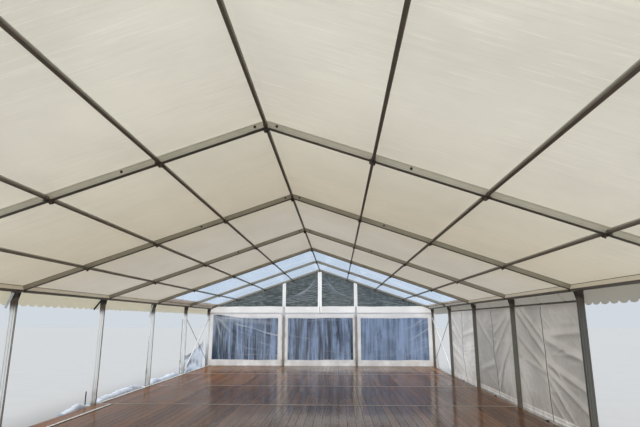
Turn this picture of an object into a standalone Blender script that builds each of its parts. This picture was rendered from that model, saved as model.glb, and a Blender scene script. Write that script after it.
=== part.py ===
"""A frame marquee of six bays with a boarded deck, modelled in metres with +Z up.

Seven aluminium portal frames carry purlins and PVC roof covers. The ridge runs along Y. The near end,
at -Y, is open, and a clear PVC gable closes the far end. The ground is at z = 0.
"""

from math import cos, pi, radians, sin, tan

import bmesh
import bpy
from mathutils import Matrix, Vector

# Overall layout
BAYS = 6
BAY_LENGTH = 3.0
SPAN = 9.0
EAVE_HEIGHT = 2.31
PITCH = radians(19)

# Clearances
GAP = 0.0003
FUSE = 0.002
CUT_MARGIN = 0.02
WELD_DISTANCE = 0.000001

# Rafters, and the grooves along them that hold the edges of the covers
RAFTER_DEPTH = 0.100
RAFTER_WIDTH = 0.048
COVER_THICKNESS = 0.006
GROOVE_DEPTH = 0.006
GROOVE_PLAY = 0.003
GROOVE_LIFT = 0.031

# Purlins and the cleats that seat their ends
PURLIN_SHARES = (0.25, 0.5, 0.75)
PURLIN_WIDTH = 0.030
PURLIN_DEPTH = 0.040
CLEAT_THICKNESS = 0.005
CLEAT_LENGTH = 0.060
CLEAT_CHEEK = 0.026
CLEAT_EDGE = 0.003
EAVE_PURLIN_WIDTH = 0.048
EAVE_PURLIN_DEPTH = 0.100
EAVE_PURLIN_INSET = 0.033
EAVE_PURLIN_CLEARANCE = 0.001

# Plates at the ridge and at the leg heads
PLATE_THICKNESS = 0.006
APEX_PLATE_REACH = 0.200
APEX_PLATE_EDGE = 0.006
PLATE_TOP_LIFT = 0.018
CORNER_PLATE_DROP = 0.100
CORNER_PLATE_CLEARANCE = 0.003

# Legs
LEG_DEPTH = 0.100
LEG_WIDTH = 0.050
LEG_GROOVE_WIDTH = 0.012
LEG_GROOVE_DEPTH = 0.006
LEG_GROOVE_OFFSET = 0.022
BASE_LENGTH = 0.400
BASE_WIDTH = 0.200
BASE_THICKNESS = 0.012
STAKE_HOLE = 0.026
STAKE_HOLE_INSET = 0.045
STAKE_HOLE_SIDES = 12

# Valances of the covers
VALANCE_CLEARANCE = 0.006
VALANCE_DROP = 0.245

# Wall rails and side walls, in the walled bays on the right
WALLED_BAYS = (3, 4, 5)
RAIL_CLEARANCE = 0.006
WALL_RAIL_SIZE = 0.030
HANGER_WIDTH = 0.030
HANGER_THICKNESS = 0.006
HANGERS_PER_BAY = 3
WALL_THICKNESS = 0.024
WALL_FOOT = 0.020
WALL_SEAM_GAP = 0.002

# Far gable
GABLE_POST_AT = 1.45
GABLE_BASE_LENGTH = 0.200
KING_POST_WIDTH = 0.050
GABLE_RAIL_HEIGHT = 0.060
GABLE_RAIL_DEPTH = 0.030
GABLE_SHEET_THICKNESS = 0.008
GABLE_SHEET_GAP = 0.004
GABLE_TOP_LIFT = 0.015

# Wind bracing of the last bay
BRACE_TUBE_RADIUS = 0.022
BRACE_BAR_RADIUS = 0.010
BRACE_CLEARANCE = 0.004
BRACE_SIDES = 16
BRACE_TUBE_FOOT = 0.130
BRACE_TUBE_HEAD = 1.950
BRACE_BAR_FOOT = 0.300
BRACE_BAR_HEAD = 1.980

# Deck
DECK_HEIGHT = 0.100
DECK_BOARD = 0.030
DECK_CLEARANCE = 0.001
BEARERS_PER_BAY = 5
BEARER_WIDTH = 0.045

# Walls let down on the left: rolled up along the deck, and heaped in the braced bay
ROLL_WIDTH = 0.238
ROLL_HEIGHT = 0.250
ROLL_SIDES = 12
ROLL_END_CLEARANCE = 0.010
ROLLED_BAYS = {3: 0.35, 4: 1.0, 5: 1.0}
HEAP_THICKNESS = 0.125
HEAP_NEAR_HEIGHT = 0.78
HEAP_LOW_HEIGHT = 0.66
HEAP_FAR_HEIGHT = 1.05

# The wall of the braced bay on the right, drawn aside and tied to the corner leg
TIED_WALL_DEPTH = 0.270
TIED_WALL_SWELL = 0.075
TIED_WALL_SHOULDER = 0.060

# Worked out from the sizes above
HALF_SPAN = SPAN / 2
HALF_LENGTH = BAYS * BAY_LENGTH / 2
RIDGE_HEIGHT = EAVE_HEIGHT + HALF_SPAN * tan(PITCH)
SLOPE_LENGTH = HALF_SPAN / cos(PITCH)
VALANCE_FOOT = EAVE_HEIGHT - VALANCE_DROP
LEG_OUTSIDE = HALF_SPAN + LEG_DEPTH / 2
LEG_INSIDE = HALF_SPAN - LEG_DEPTH / 2
WALL_LINE = LEG_OUTSIDE - WALL_RAIL_SIZE / 2
BRACE_TUBE_LINE = LEG_INSIDE + BRACE_CLEARANCE + BRACE_TUBE_RADIUS
BRACE_BAR_LINE = BRACE_TUBE_LINE + BRACE_TUBE_RADIUS + BRACE_CLEARANCE + BRACE_BAR_RADIUS
COVER_TOP = GROOVE_LIFT + COVER_THICKNESS / 2
COVER_UNDERSIDE = GROOVE_LIFT - COVER_THICKNESS / 2
PURLIN_BOTTOM = -RAFTER_DEPTH / 2 + CLEAT_EDGE + CLEAT_THICKNESS + GAP
PLATE_FACE = RAFTER_WIDTH / 2 + GAP + PLATE_THICKNESS
GABLE_PLANE = PLATE_FACE + GAP
DECK_HALF_WIDTH = LEG_INSIDE - DECK_CLEARANCE

ALUMINIUM = ((0.46, 0.46, 0.43), 0.38, 0.9)
LEG_ALUMINIUM = ((0.60, 0.61, 0.60), 0.40, 0.8)
CREAM_PVC = ((0.68, 0.63, 0.52), 0.55, 0.0)
CLEAR_PVC = ((0.66, 0.74, 0.84), 0.15, 0.0)
WHITE_PVC = ((0.58, 0.57, 0.54), 0.50, 0.0)
GALVANISED = ((0.50, 0.51, 0.52), 0.45, 0.9)
WET_BOARDS = ((0.16, 0.09, 0.055), 0.22, 0.0)


def frame_place(number):
    """Where a frame stands along Y. Frames are numbered from the open end, from 1."""
    return -HALF_LENGTH + (number - 1) * BAY_LENGTH


def bay_middle(number):
    return frame_place(number) + BAY_LENGTH / 2


def slope_height(across, lift):
    """Height of a line that runs beside the rafters' centre line, lifted square to the slope."""
    return RIDGE_HEIGHT - abs(across) * tan(PITCH) + lift / cos(PITCH)


def on_slope(side, along, lift):
    """A point measured down the slope from the ridge and square to it, as (x, z)."""
    across = along * cos(PITCH) + lift * sin(PITCH)
    height = RIDGE_HEIGHT - along * sin(PITCH) + lift * cos(PITCH)
    return side * across, height


def clear_scene():
    for obj in list(bpy.data.objects):
        bpy.data.objects.remove(obj, do_unlink=True)


def new_collection(name):
    collection = bpy.data.collections.new(name)
    bpy.context.scene.collection.children.link(collection)
    return collection


clear_scene()
PARTS = new_collection("marquee_tent")
CUTTERS = new_collection("cutters")


def material(name, finish):
    found = bpy.data.materials.get(name)
    if found:
        return found
    colour, roughness, metallic = finish
    made = bpy.data.materials.new(name)
    made.use_nodes = True
    shader = made.node_tree.nodes["Principled BSDF"]
    shader.inputs["Base Color"].default_value = (*colour, 1)
    shader.inputs["Roughness"].default_value = roughness
    shader.inputs["Metallic"].default_value = metallic
    made.diffuse_color = (*colour, 1)
    return made


def welded(mesh):
    """Closes a mesh that came from a filled curve, with its faces pointing out."""
    work = bmesh.new()
    work.from_mesh(mesh)
    bmesh.ops.remove_doubles(work, verts=work.verts, dist=WELD_DISTANCE)
    bmesh.ops.recalc_face_normals(work, faces=work.faces)
    work.to_mesh(mesh)
    work.free()
    return mesh


def prism(outline, near, far):
    """A flat outline of (x, z) points with its depth along Y."""
    curve = bpy.data.curves.new("outline", "CURVE")
    curve.dimensions = "2D"
    curve.fill_mode = "BOTH"
    curve.extrude = (far - near) / 2
    spline = curve.splines.new("POLY")
    spline.points.add(len(outline) - 1)
    for point, (x, z) in zip(spline.points, outline):
        point.co = (x, z, 0, 1)
    spline.use_cyclic_u = True
    drawn = bpy.data.objects.new("outline", curve)
    CUTTERS.objects.link(drawn)
    graph = bpy.context.evaluated_depsgraph_get()
    mesh = bpy.data.meshes.new_from_object(drawn.evaluated_get(graph))
    bpy.data.objects.remove(drawn)
    mesh.transform(Matrix.Translation((0, (near + far) / 2, 0)) @ Matrix.Rotation(pi / 2, 4, "X"))
    return welded(mesh)


def block(low, high):
    """A box between two corners."""
    work = bmesh.new()
    size = [b - a for a, b in zip(low, high)]
    middle = [(a + b) / 2 for a, b in zip(low, high)]
    bmesh.ops.create_cube(work, size=1, matrix=Matrix.Translation(middle) @ Matrix.Diagonal((*size, 1)))
    mesh = bpy.data.meshes.new("block")
    work.to_mesh(mesh)
    work.free()
    return mesh


def rod(start, end, radius, sides):
    """A round bar between two points."""
    line = Vector(end) - Vector(start)
    turn = Vector((0, 0, 1)).rotation_difference(line).to_matrix().to_4x4()
    place = Matrix.Translation((Vector(start) + Vector(end)) / 2) @ turn
    work = bmesh.new()
    bmesh.ops.create_cone(
        work, cap_ends=True, segments=sides, radius1=radius, radius2=radius, depth=line.length, matrix=place
    )
    mesh = bpy.data.meshes.new("rod")
    work.to_mesh(mesh)
    work.free()
    return mesh


def gathered(meshes):
    """Several meshes that lie clear of each other, as one."""
    work = bmesh.new()
    for mesh in meshes:
        work.from_mesh(mesh)
    joined = bpy.data.meshes.new("gathered")
    work.to_mesh(joined)
    work.free()
    return joined


def helper(mesh):
    obj = bpy.data.objects.new("helper", mesh)
    obj.hide_render = True
    obj.display_type = "WIRE"
    CUTTERS.objects.link(obj)
    return obj


def combined(mesh, *steps):
    """The mesh after Boolean steps, each an operation and the meshes it works with."""
    body = helper(mesh)
    used = [body]
    for operation, others in steps:
        other = helper(gathered(others))
        used.append(other)
        modifier = body.modifiers.new(operation.lower(), "BOOLEAN")
        modifier.operation = operation
        modifier.object = other
        modifier.solver = "EXACT"
    bpy.context.view_layer.update()
    graph = bpy.context.evaluated_depsgraph_get()
    result = bpy.data.meshes.new_from_object(body.evaluated_get(graph))
    for obj in used:
        bpy.data.objects.remove(obj)
    return result


def place(name, mesh, finish, location=(0, 0, 0), turned=0):
    """Puts a finished mesh in the scene as a named piece."""
    obj = bpy.data.objects.new(name, mesh)
    obj.location = location
    obj.rotation_euler = (0, 0, turned)
    if not mesh.materials:
        mesh.materials.append(material(*finish))
    PARTS.objects.link(obj)
    return obj


def chevron(end, low, high):
    """The outline of a band that follows both slopes, with upright ends."""
    return [
        (end, slope_height(end, high)),
        (0, slope_height(0, high)),
        (-end, slope_height(end, high)),
        (-end, slope_height(end, low)),
        (0, slope_height(0, low)),
        (end, slope_height(end, low)),
    ]


def purlin_outline(side, share):
    """The section of a purlin. A side of 0 is the ridge."""
    if side == 0:
        low = slope_height(0, PURLIN_BOTTOM)
        half = PURLIN_WIDTH / 2
        return [(-half, low), (half, low), (half, low + PURLIN_DEPTH), (-half, low + PURLIN_DEPTH)]
    middle = share * SLOPE_LENGTH
    upper = middle - PURLIN_WIDTH / 2
    lower = middle + PURLIN_WIDTH / 2
    top = PURLIN_BOTTOM + PURLIN_DEPTH
    corners = ((upper, PURLIN_BOTTOM), (lower, PURLIN_BOTTOM), (lower, top), (upper, top))
    return [on_slope(side, along, lift) for along, lift in corners]


def cleat_outline(side, share):
    """The U-shaped seat under a purlin's end."""
    inner = PURLIN_WIDTH / 2 + GAP
    outer = inner + CLEAT_THICKNESS
    seat = PURLIN_BOTTOM - GAP
    foot = seat - CLEAT_THICKNESS
    top = PURLIN_BOTTOM + CLEAT_CHEEK
    corners = (
        (-outer, foot),
        (outer, foot),
        (outer, top),
        (inner, top),
        (inner, seat),
        (-inner, seat),
        (-inner, top),
        (-outer, top),
    )
    if side == 0:
        base = slope_height(0, PURLIN_BOTTOM) - PURLIN_BOTTOM
        return [(across, base + lift) for across, lift in corners]
    return [on_slope(side, share * SLOPE_LENGTH + along, lift) for along, lift in corners]


def eave_purlin_outline(side):
    top = COVER_UNDERSIDE - EAVE_PURLIN_CLEARANCE
    outer_edge = LEG_INSIDE - EAVE_PURLIN_INSET
    lower = (outer_edge - top * sin(PITCH)) / cos(PITCH)
    upper = lower - EAVE_PURLIN_WIDTH
    bottom = top - EAVE_PURLIN_DEPTH
    corners = ((upper, bottom), (lower, bottom), (lower, top), (upper, top))
    return [on_slope(side, along, lift) for along, lift in corners]


def purlin_lines():
    """The side and share of each purlin on which a cleat is used."""
    return [(0, 0)] + [(side, share) for side in (-1, 1) for share in PURLIN_SHARES]


def purlins():
    near = RAFTER_WIDTH / 2 - FUSE
    eave_near = RAFTER_WIDTH / 2 - GROOVE_DEPTH - FUSE
    far = BAY_LENGTH - RAFTER_WIDTH / 2 - GAP
    ridge_far = BAY_LENGTH - PLATE_FACE - GAP
    made = [prism(purlin_outline(0, 0), near, ridge_far)]
    for side in (-1, 1):
        for share in PURLIN_SHARES:
            made.append(prism(purlin_outline(side, share), near, far))
        made.append(prism(eave_purlin_outline(side), eave_near, far))
    return made


def cleats(facing):
    """Cleats on one face of a rafter pair, at -1 towards -Y and at 1 towards +Y."""
    made = []
    for side, share in purlin_lines():
        stand_off = PLATE_FACE if side == 0 else RAFTER_WIDTH / 2
        ends = sorted((facing * (RAFTER_WIDTH / 2 - FUSE), facing * (stand_off + CLEAT_LENGTH)))
        made.append(prism(cleat_outline(side, share), *ends))
    return made


def apex_plates():
    outline = chevron(APEX_PLATE_REACH * cos(PITCH), -RAFTER_DEPTH / 2 + APEX_PLATE_EDGE, PLATE_TOP_LIFT)
    near = RAFTER_WIDTH / 2 - FUSE
    return [prism(outline, -PLATE_FACE, -near), prism(outline, near, PLATE_FACE)]


def cover_grooves():
    half = COVER_THICKNESS / 2 + GROOVE_PLAY
    outline = chevron(LEG_OUTSIDE + CUT_MARGIN, GROOVE_LIFT - half, GROOVE_LIFT + half)
    inner = RAFTER_WIDTH / 2 - GROOVE_DEPTH
    outer = RAFTER_WIDTH / 2 + CUT_MARGIN
    return [prism(outline, -outer, -inner), prism(outline, inner, outer)]


def rail_top():
    """The top of the wall rail and the gable rail, just under the leg heads' plates."""
    return slope_height(HALF_SPAN, -RAFTER_DEPTH / 2) - CORNER_PLATE_DROP - RAIL_CLEARANCE


def wall_rail():
    """The bar that the curtains hang from, its outer face in line with the legs' outer faces."""
    half = WALL_RAIL_SIZE / 2
    near = LEG_WIDTH / 2 + GAP
    low = (WALL_LINE - half, near, rail_top() - WALL_RAIL_SIZE)
    high = (WALL_LINE + half, BAY_LENGTH - near, rail_top())
    return block(low, high)


def rail_hangers():
    """Straps that carry the wall rail under the right eave purlin."""
    corners = eave_purlin_outline(1)
    inner_x, inner_z = corners[0]
    outer_x, outer_z = corners[1]
    half = WALL_RAIL_SIZE / 2
    rail_z = rail_top() - WALL_RAIL_SIZE / 2
    outline = [
        (outer_x, outer_z + FUSE),
        (outer_x - HANGER_WIDTH, outer_z + FUSE + HANGER_WIDTH * (inner_z - outer_z) / (outer_x - inner_x)),
        (WALL_LINE - half + FUSE, rail_z - half / 2),
        (WALL_LINE - half + FUSE, rail_z + half / 2),
    ]
    made = []
    for number in range(HANGERS_PER_BAY):
        middle = BAY_LENGTH * (number + 0.5) / HANGERS_PER_BAY
        made.append(prism(outline, middle - HANGER_THICKNESS / 2, middle + HANGER_THICKNESS / 2))
    return made


def roof_frame(number):
    """A rafter pair with the purlins that it carries towards the next frame."""
    rafters = prism(
        chevron(LEG_OUTSIDE, -RAFTER_DEPTH / 2, RAFTER_DEPTH / 2), -RAFTER_WIDTH / 2, RAFTER_WIDTH / 2
    )
    steps = [("DIFFERENCE", cover_grooves()), ("UNION", apex_plates())]
    seats = []
    if number > 1:
        seats += cleats(-1)
    if number <= BAYS:
        seats += cleats(1)
        steps.append(("UNION", purlins()))
    steps.append(("UNION", seats))
    if number in WALLED_BAYS:
        steps.append(("UNION", rail_hangers()))
        steps.append(("UNION", [wall_rail()]))
    mesh = combined(rafters, *steps)
    place(f"roof_frame_{number}", mesh, ("frame aluminium", ALUMINIUM), (0, frame_place(number), 0))


def base_plate(length):
    low = (-length / 2, -BASE_WIDTH / 2, 0)
    high = (length / 2, BASE_WIDTH / 2, BASE_THICKNESS)
    return block(low, high)


def stake_holes(length):
    across = length / 2 - STAKE_HOLE_INSET
    along = BASE_WIDTH / 2 - STAKE_HOLE_INSET
    made = []
    for x, y in ((across, along), (across, -along), (-across, along), (-across, -along)):
        start = (x, y, -CUT_MARGIN)
        end = (x, y, BASE_THICKNESS + CUT_MARGIN)
        made.append(rod(start, end, STAKE_HOLE / 2, STAKE_HOLE_SIDES))
    return made


def leg_outline():
    """A right leg seen from the front, about its own axis, with its head cut to the slope."""
    foot = BASE_THICKNESS - FUSE
    half = LEG_DEPTH / 2
    inner_top = slope_height(LEG_INSIDE, -RAFTER_DEPTH / 2) - GAP
    outer_top = slope_height(LEG_OUTSIDE, -RAFTER_DEPTH / 2) - GAP
    return [(-half, foot), (half, foot), (half, outer_top), (-half, inner_top)]


def corner_plates():
    inner = LEG_INSIDE - EAVE_PURLIN_INSET + CORNER_PLATE_CLEARANCE
    inner_foot = slope_height(inner, -RAFTER_DEPTH / 2)
    foot = slope_height(HALF_SPAN, -RAFTER_DEPTH / 2) - CORNER_PLATE_DROP
    outline = [
        (inner - HALF_SPAN, inner_foot),
        (LEG_INSIDE - HALF_SPAN, foot),
        (LEG_OUTSIDE - HALF_SPAN, foot),
        (LEG_OUTSIDE - HALF_SPAN, slope_height(LEG_OUTSIDE, PLATE_TOP_LIFT)),
        (inner - HALF_SPAN, slope_height(inner, PLATE_TOP_LIFT)),
    ]
    near = RAFTER_WIDTH / 2 + GAP
    return [prism(outline, -PLATE_FACE, -near), prism(outline, near, PLATE_FACE)]


def leg_grooves():
    inner = LEG_WIDTH / 2 - LEG_GROOVE_DEPTH
    outer = LEG_WIDTH / 2 + CUT_MARGIN
    half = LEG_GROOVE_WIDTH / 2
    foot = BASE_THICKNESS + CUT_MARGIN
    head = slope_height(HALF_SPAN, -RAFTER_DEPTH / 2) - CORNER_PLATE_DROP - CUT_MARGIN
    made = []
    for middle in (-LEG_GROOVE_OFFSET, LEG_GROOVE_OFFSET):
        made.append(block((middle - half, inner, foot), (middle + half, outer, head)))
        made.append(block((middle - half, -outer, foot), (middle + half, -inner, head)))
    return made


def legs():
    column = prism(leg_outline(), -LEG_WIDTH / 2, LEG_WIDTH / 2)
    mesh = combined(
        column,
        ("DIFFERENCE", leg_grooves()),
        ("UNION", corner_plates()),
        ("UNION", [base_plate(BASE_LENGTH)]),
        ("DIFFERENCE", stake_holes(BASE_LENGTH)),
    )
    for number in range(1, BAYS + 2):
        for side, word in ((-1, "left"), (1, "right")):
            turned = 0 if side > 0 else pi
            location = (side * HALF_SPAN, frame_place(number), 0)
            place(f"leg_{word}_{number}", mesh, ("leg aluminium", LEG_ALUMINIUM), location, turned)


def cover_mesh():
    """One roof cover over both slopes, with the valance that hangs from each eave."""
    reach = BAY_LENGTH / 2 - RAFTER_WIDTH / 2 + GROOVE_DEPTH - GAP
    inner = LEG_OUTSIDE + VALANCE_CLEARANCE
    outer = inner + COVER_THICKNESS
    roof = prism(chevron((inner + outer) / 2, COVER_UNDERSIDE, COVER_TOP), -reach, reach)
    half_bay = BAY_LENGTH / 2 - GAP / 2
    valances = []
    for side in (-1, 1):
        outline = [
            (side * inner, VALANCE_FOOT),
            (side * outer, VALANCE_FOOT),
            (side * outer, slope_height(outer, COVER_TOP)),
            (side * inner, slope_height(inner, COVER_TOP)),
        ]
        valances.append(prism(outline, -half_bay, half_bay))
    return combined(roof, ("UNION", valances))


def roof_covers():
    """Cream covers, and clear ones over the last two bays."""
    cream = cover_mesh()
    clear = cream.copy()
    for number in range(1, BAYS + 1):
        location = (0, bay_middle(number), 0)
        if number > BAYS - 2:
            place(f"roof_cover_clear_{number}", clear, ("clear PVC", CLEAR_PVC), location)
        else:
            place(f"roof_cover_{number}", cream, ("cream PVC", CREAM_PVC), location)


def side_walls():
    """Two curtains a bay, which meet at a seam half way."""
    half = WALL_THICKNESS / 2
    edge = BAY_LENGTH / 2 - LEG_WIDTH / 2 - GAP
    seam = WALL_SEAM_GAP / 2
    head = rail_top() - WALL_RAIL_SIZE - GAP
    near = block((-half, -edge, WALL_FOOT), (half, -seam, head))
    far = block((-half, seam, WALL_FOOT), (half, edge, head))
    for number in WALLED_BAYS:
        location = (WALL_LINE, bay_middle(number), 0)
        place(f"side_wall_{number}_near", near, ("white PVC", WHITE_PVC), location)
        place(f"side_wall_{number}_far", far, ("white PVC", WHITE_PVC), location)


def upright(middle, width, foot, depth):
    """A post under the rafters with its head cut to the slope. The ridge lies over a middle of 0."""
    low, high = middle - width / 2, middle + width / 2
    lift = -RAFTER_DEPTH / 2
    heads = [(high, slope_height(high, lift) - GAP)]
    if low < 0 < high:
        heads.append((0, slope_height(0, lift) - GAP))
    heads.append((low, slope_height(low, lift) - GAP))
    return prism([(low, foot), (high, foot), *heads], -depth / 2, depth / 2)


def gable_posts():
    finish = ("leg aluminium", LEG_ALUMINIUM)
    for side, word in ((-1, "left"), (1, "right")):
        post = upright(side * GABLE_POST_AT, LEG_DEPTH, BASE_THICKNESS - FUSE, LEG_WIDTH)
        plate = base_plate(GABLE_BASE_LENGTH)
        plate.transform(Matrix.Translation((side * GABLE_POST_AT, 0, 0)))
        place(f"gable_post_{word}", combined(post, ("UNION", [plate])), finish, (0, HALF_LENGTH, 0))
    foot = rail_top() - GABLE_RAIL_HEIGHT
    place("gable_king_post", upright(0, KING_POST_WIDTH, foot, LEG_WIDTH), finish, (0, HALF_LENGTH, 0))


def gable_rail():
    near = LEG_WIDTH / 2 + GAP
    low = (-LEG_OUTSIDE, near, rail_top() - GABLE_RAIL_HEIGHT)
    high = (LEG_OUTSIDE, near + GABLE_RAIL_DEPTH, rail_top())
    place("gable_rail", block(low, high), ("frame aluminium", ALUMINIUM), (0, HALF_LENGTH, 0))


def gable_sheets():
    """The clear sheets of the far end: a triangle above the rail and three panels below it."""
    finish = ("clear PVC", CLEAR_PVC)
    far = GABLE_PLANE + GABLE_SHEET_THICKNESS
    foot = rail_top() + GAP
    outline = [
        (-LEG_OUTSIDE, foot),
        (LEG_OUTSIDE, foot),
        (LEG_OUTSIDE, slope_height(LEG_OUTSIDE, GABLE_TOP_LIFT)),
        (0, slope_height(0, GABLE_TOP_LIFT)),
        (-LEG_OUTSIDE, slope_height(LEG_OUTSIDE, GABLE_TOP_LIFT)),
    ]
    place("gable_triangle", prism(outline, GABLE_PLANE, far), finish, (0, HALF_LENGTH, 0))
    head = rail_top() - GABLE_RAIL_HEIGHT - GAP
    half_gap = GABLE_SHEET_GAP / 2
    edges = {
        "left": (-LEG_OUTSIDE, -GABLE_POST_AT - half_gap),
        "middle": (-GABLE_POST_AT + half_gap, GABLE_POST_AT - half_gap),
        "right": (GABLE_POST_AT + half_gap, LEG_OUTSIDE),
    }
    for word, (left, right) in edges.items():
        sheet = block((left, GABLE_PLANE, WALL_FOOT), (right, far, head))
        place(f"gable_panel_{word}", sheet, finish, (0, HALF_LENGTH, 0))


def brace_mesh(near_height, far_height, radius):
    """A bar across the last bay, cut upright just short of the legs' faces."""
    near, far = 0, BAY_LENGTH
    slope = (far_height - near_height) / (far - near)
    start = (0, near - LEG_WIDTH, near_height - slope * LEG_WIDTH)
    end = (0, far + LEG_WIDTH, far_height + slope * LEG_WIDTH)
    face = LEG_WIDTH / 2 + GAP
    keep = block((-LEG_DEPTH, near + face, 0), (LEG_DEPTH, far - face, EAVE_HEIGHT))
    return combined(rod(start, end, radius, BRACE_SIDES), ("INTERSECT", [keep]))


def braces():
    """A tube and a thinner bar cross on each side of the last bay."""
    finish = ("galvanised steel", GALVANISED)
    tube = brace_mesh(BRACE_TUBE_FOOT, BRACE_TUBE_HEAD, BRACE_TUBE_RADIUS)
    bar = brace_mesh(BRACE_BAR_HEAD, BRACE_BAR_FOOT, BRACE_BAR_RADIUS)
    for side, word in ((-1, "left"), (1, "right")):
        start = frame_place(BAYS)
        place(f"brace_tube_{word}", tube, finish, (side * BRACE_TUBE_LINE, start, 0))
        place(f"brace_bar_{word}", bar, finish, (side * BRACE_BAR_LINE, start, 0))


def tied_wall():
    """The right wall of the braced bay, gathered into a bundle beside the corner leg."""
    inner = BRACE_BAR_LINE + BRACE_BAR_RADIUS + BRACE_CLEARANCE
    shoulder = VALANCE_FOOT - TIED_WALL_SHOULDER
    head = rail_top() - WALL_RAIL_SIZE - GAP
    outline = [
        (inner, WALL_FOOT),
        (LEG_OUTSIDE + TIED_WALL_SWELL, WALL_FOOT),
        (LEG_OUTSIDE, shoulder),
        (LEG_OUTSIDE, head),
        (inner, head),
    ]
    far = -LEG_WIDTH / 2 - GAP
    mesh = prism(outline, far - TIED_WALL_DEPTH, far)
    place("tied_wall", mesh, ("white PVC", WHITE_PVC), (0, HALF_LENGTH, 0))


def deck():
    """Boards over bearers, between the two rows of legs."""
    near = -HALF_LENGTH - LEG_WIDTH / 2
    far = HALF_LENGTH - LEG_WIDTH / 2 - GAP
    boards = block((-DECK_HALF_WIDTH, near, DECK_HEIGHT - DECK_BOARD), (DECK_HALF_WIDTH, far, DECK_HEIGHT))
    pitch = BAY_LENGTH / BEARERS_PER_BAY
    bearers = []
    for number in range(BAYS * BEARERS_PER_BAY):
        middle = -HALF_LENGTH + (number + 0.5) * pitch
        low = (-DECK_HALF_WIDTH, middle - BEARER_WIDTH / 2, 0)
        high = (DECK_HALF_WIDTH, middle + BEARER_WIDTH / 2, DECK_HEIGHT - DECK_BOARD + FUSE)
        bearers.append(block(low, high))
    place("deck", combined(boards, ("UNION", bearers)), ("wet boards", WET_BOARDS))


def rolled_walls():
    """Side walls rolled up and laid on the ground beside the deck."""
    middle_x = -(DECK_HALF_WIDTH + GAP + ROLL_WIDTH / 2)
    room = BASE_WIDTH / 2 + ROLL_END_CLEARANCE
    for number, share in ROLLED_BAYS.items():
        far = frame_place(number + 1) - room
        near = far - share * (BAY_LENGTH - 2 * room)
        half_step = pi / ROLL_SIDES
        mesh = rod((0, near, 0), (0, far, 0), 1 / cos(half_step), ROLL_SIDES)
        flattened = Matrix.Diagonal((ROLL_WIDTH / 2, 1, ROLL_HEIGHT / 2, 1))
        mesh.transform(flattened @ Matrix.Rotation(half_step, 4, "Y"))
        place(f"rolled_wall_{number}", mesh, ("white PVC", WHITE_PVC), (middle_x, 0, ROLL_HEIGHT / 2))


def heaped_wall():
    """The last wall, let down outside the braces and bunched between the two legs' base plates."""
    room = BASE_WIDTH / 2 + GAP
    near, far = room, BAY_LENGTH - room
    third = (far - near) / 3
    outline = [
        (near, 0),
        (far, 0),
        (far, HEAP_FAR_HEIGHT),
        (far - third, HEAP_LOW_HEIGHT),
        (near + third, HEAP_LOW_HEIGHT),
        (near, HEAP_NEAR_HEIGHT),
    ]
    mesh = prism(outline, -HEAP_THICKNESS / 2, HEAP_THICKNESS / 2)
    mesh.transform(Matrix.Rotation(pi / 2, 4, "Z"))
    middle_x = -(LEG_OUTSIDE + VALANCE_CLEARANCE + COVER_THICKNESS + GAP + HEAP_THICKNESS / 2)
    place("heaped_wall", mesh, ("white PVC", WHITE_PVC), (middle_x, frame_place(BAYS), 0))


def main():
    for number in range(1, BAYS + 2):
        roof_frame(number)
    legs()
    roof_covers()
    side_walls()
    gable_posts()
    gable_rail()
    gable_sheets()
    braces()
    deck()
    rolled_walls()
    heaped_wall()
    tied_wall()


main()
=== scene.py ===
"""Dresses the frame of a marquee tent: PVC roof covers with scalloped valances, curtain walls, a clear
gable, a boarded deck, rolled and heaped walls, and the fittings of the aluminium frame.

Units are metres, +Z is up and the ridge runs along Y. The open end is at -Y.
"""

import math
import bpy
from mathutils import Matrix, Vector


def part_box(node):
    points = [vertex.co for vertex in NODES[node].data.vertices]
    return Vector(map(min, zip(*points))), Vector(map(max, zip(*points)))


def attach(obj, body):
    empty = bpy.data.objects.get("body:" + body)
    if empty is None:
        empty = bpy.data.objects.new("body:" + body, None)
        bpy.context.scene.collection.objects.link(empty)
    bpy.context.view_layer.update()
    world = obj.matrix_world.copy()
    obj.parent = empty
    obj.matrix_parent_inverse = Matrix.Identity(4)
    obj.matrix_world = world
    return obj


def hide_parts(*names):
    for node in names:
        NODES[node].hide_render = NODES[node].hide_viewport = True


bl_info = {
    "name": "Marquee tent dressing",
    "version": (1, 0, 0),
    "blender": (4, 5, 0),
    "location": "3D View > Sidebar > Marquee",
    "description": "Covers, curtains, clear gable, boards and fittings of a frame marquee",
    "category": "Object",
}

from functools import partial, partialmethod

import bpy
import numpy as np
from bpy.props import FloatProperty, FloatVectorProperty, IntProperty, PointerProperty
from mathutils import Matrix, Vector

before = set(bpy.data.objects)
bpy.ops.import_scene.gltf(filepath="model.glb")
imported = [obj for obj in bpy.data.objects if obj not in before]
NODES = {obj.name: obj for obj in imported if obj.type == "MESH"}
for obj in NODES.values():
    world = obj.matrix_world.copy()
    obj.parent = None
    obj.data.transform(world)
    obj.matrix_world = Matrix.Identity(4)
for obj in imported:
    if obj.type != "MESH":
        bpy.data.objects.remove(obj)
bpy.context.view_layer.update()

# Places taken from the frame
BAY = 3.0
BAY_NUMBERS = range(1, 7)
FRAME_NUMBERS = range(1, 8)
FIRST_CLEAR_BAY = 5
SIDES = {-1: "left", 1: "right"}
PITCH = math.radians(19)
SLOPE = math.tan(PITCH)
HALF_SPAN = 4.5
EAVE_HEIGHT = 2.31
RIDGE_HEIGHT = EAVE_HEIGHT + HALF_SPAN * SLOPE
COVER_LIFT = 0.031
VALANCE_X = 4.559
VALANCE_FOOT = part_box("roof_cover_1")[0].z
DECK_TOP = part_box("deck")[1].z
DECK_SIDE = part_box("deck")[1].x
GABLE_SHEET_Y = sum(corner.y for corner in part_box("gable_panel_middle")) / 2
PURLIN_SHARES = (0.25, 0.5, 0.75)
RAFTER_HALF_DEPTH = 0.05
RAFTER_FACE = 0.0303
EAVE_ZONE = 4.2
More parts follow.
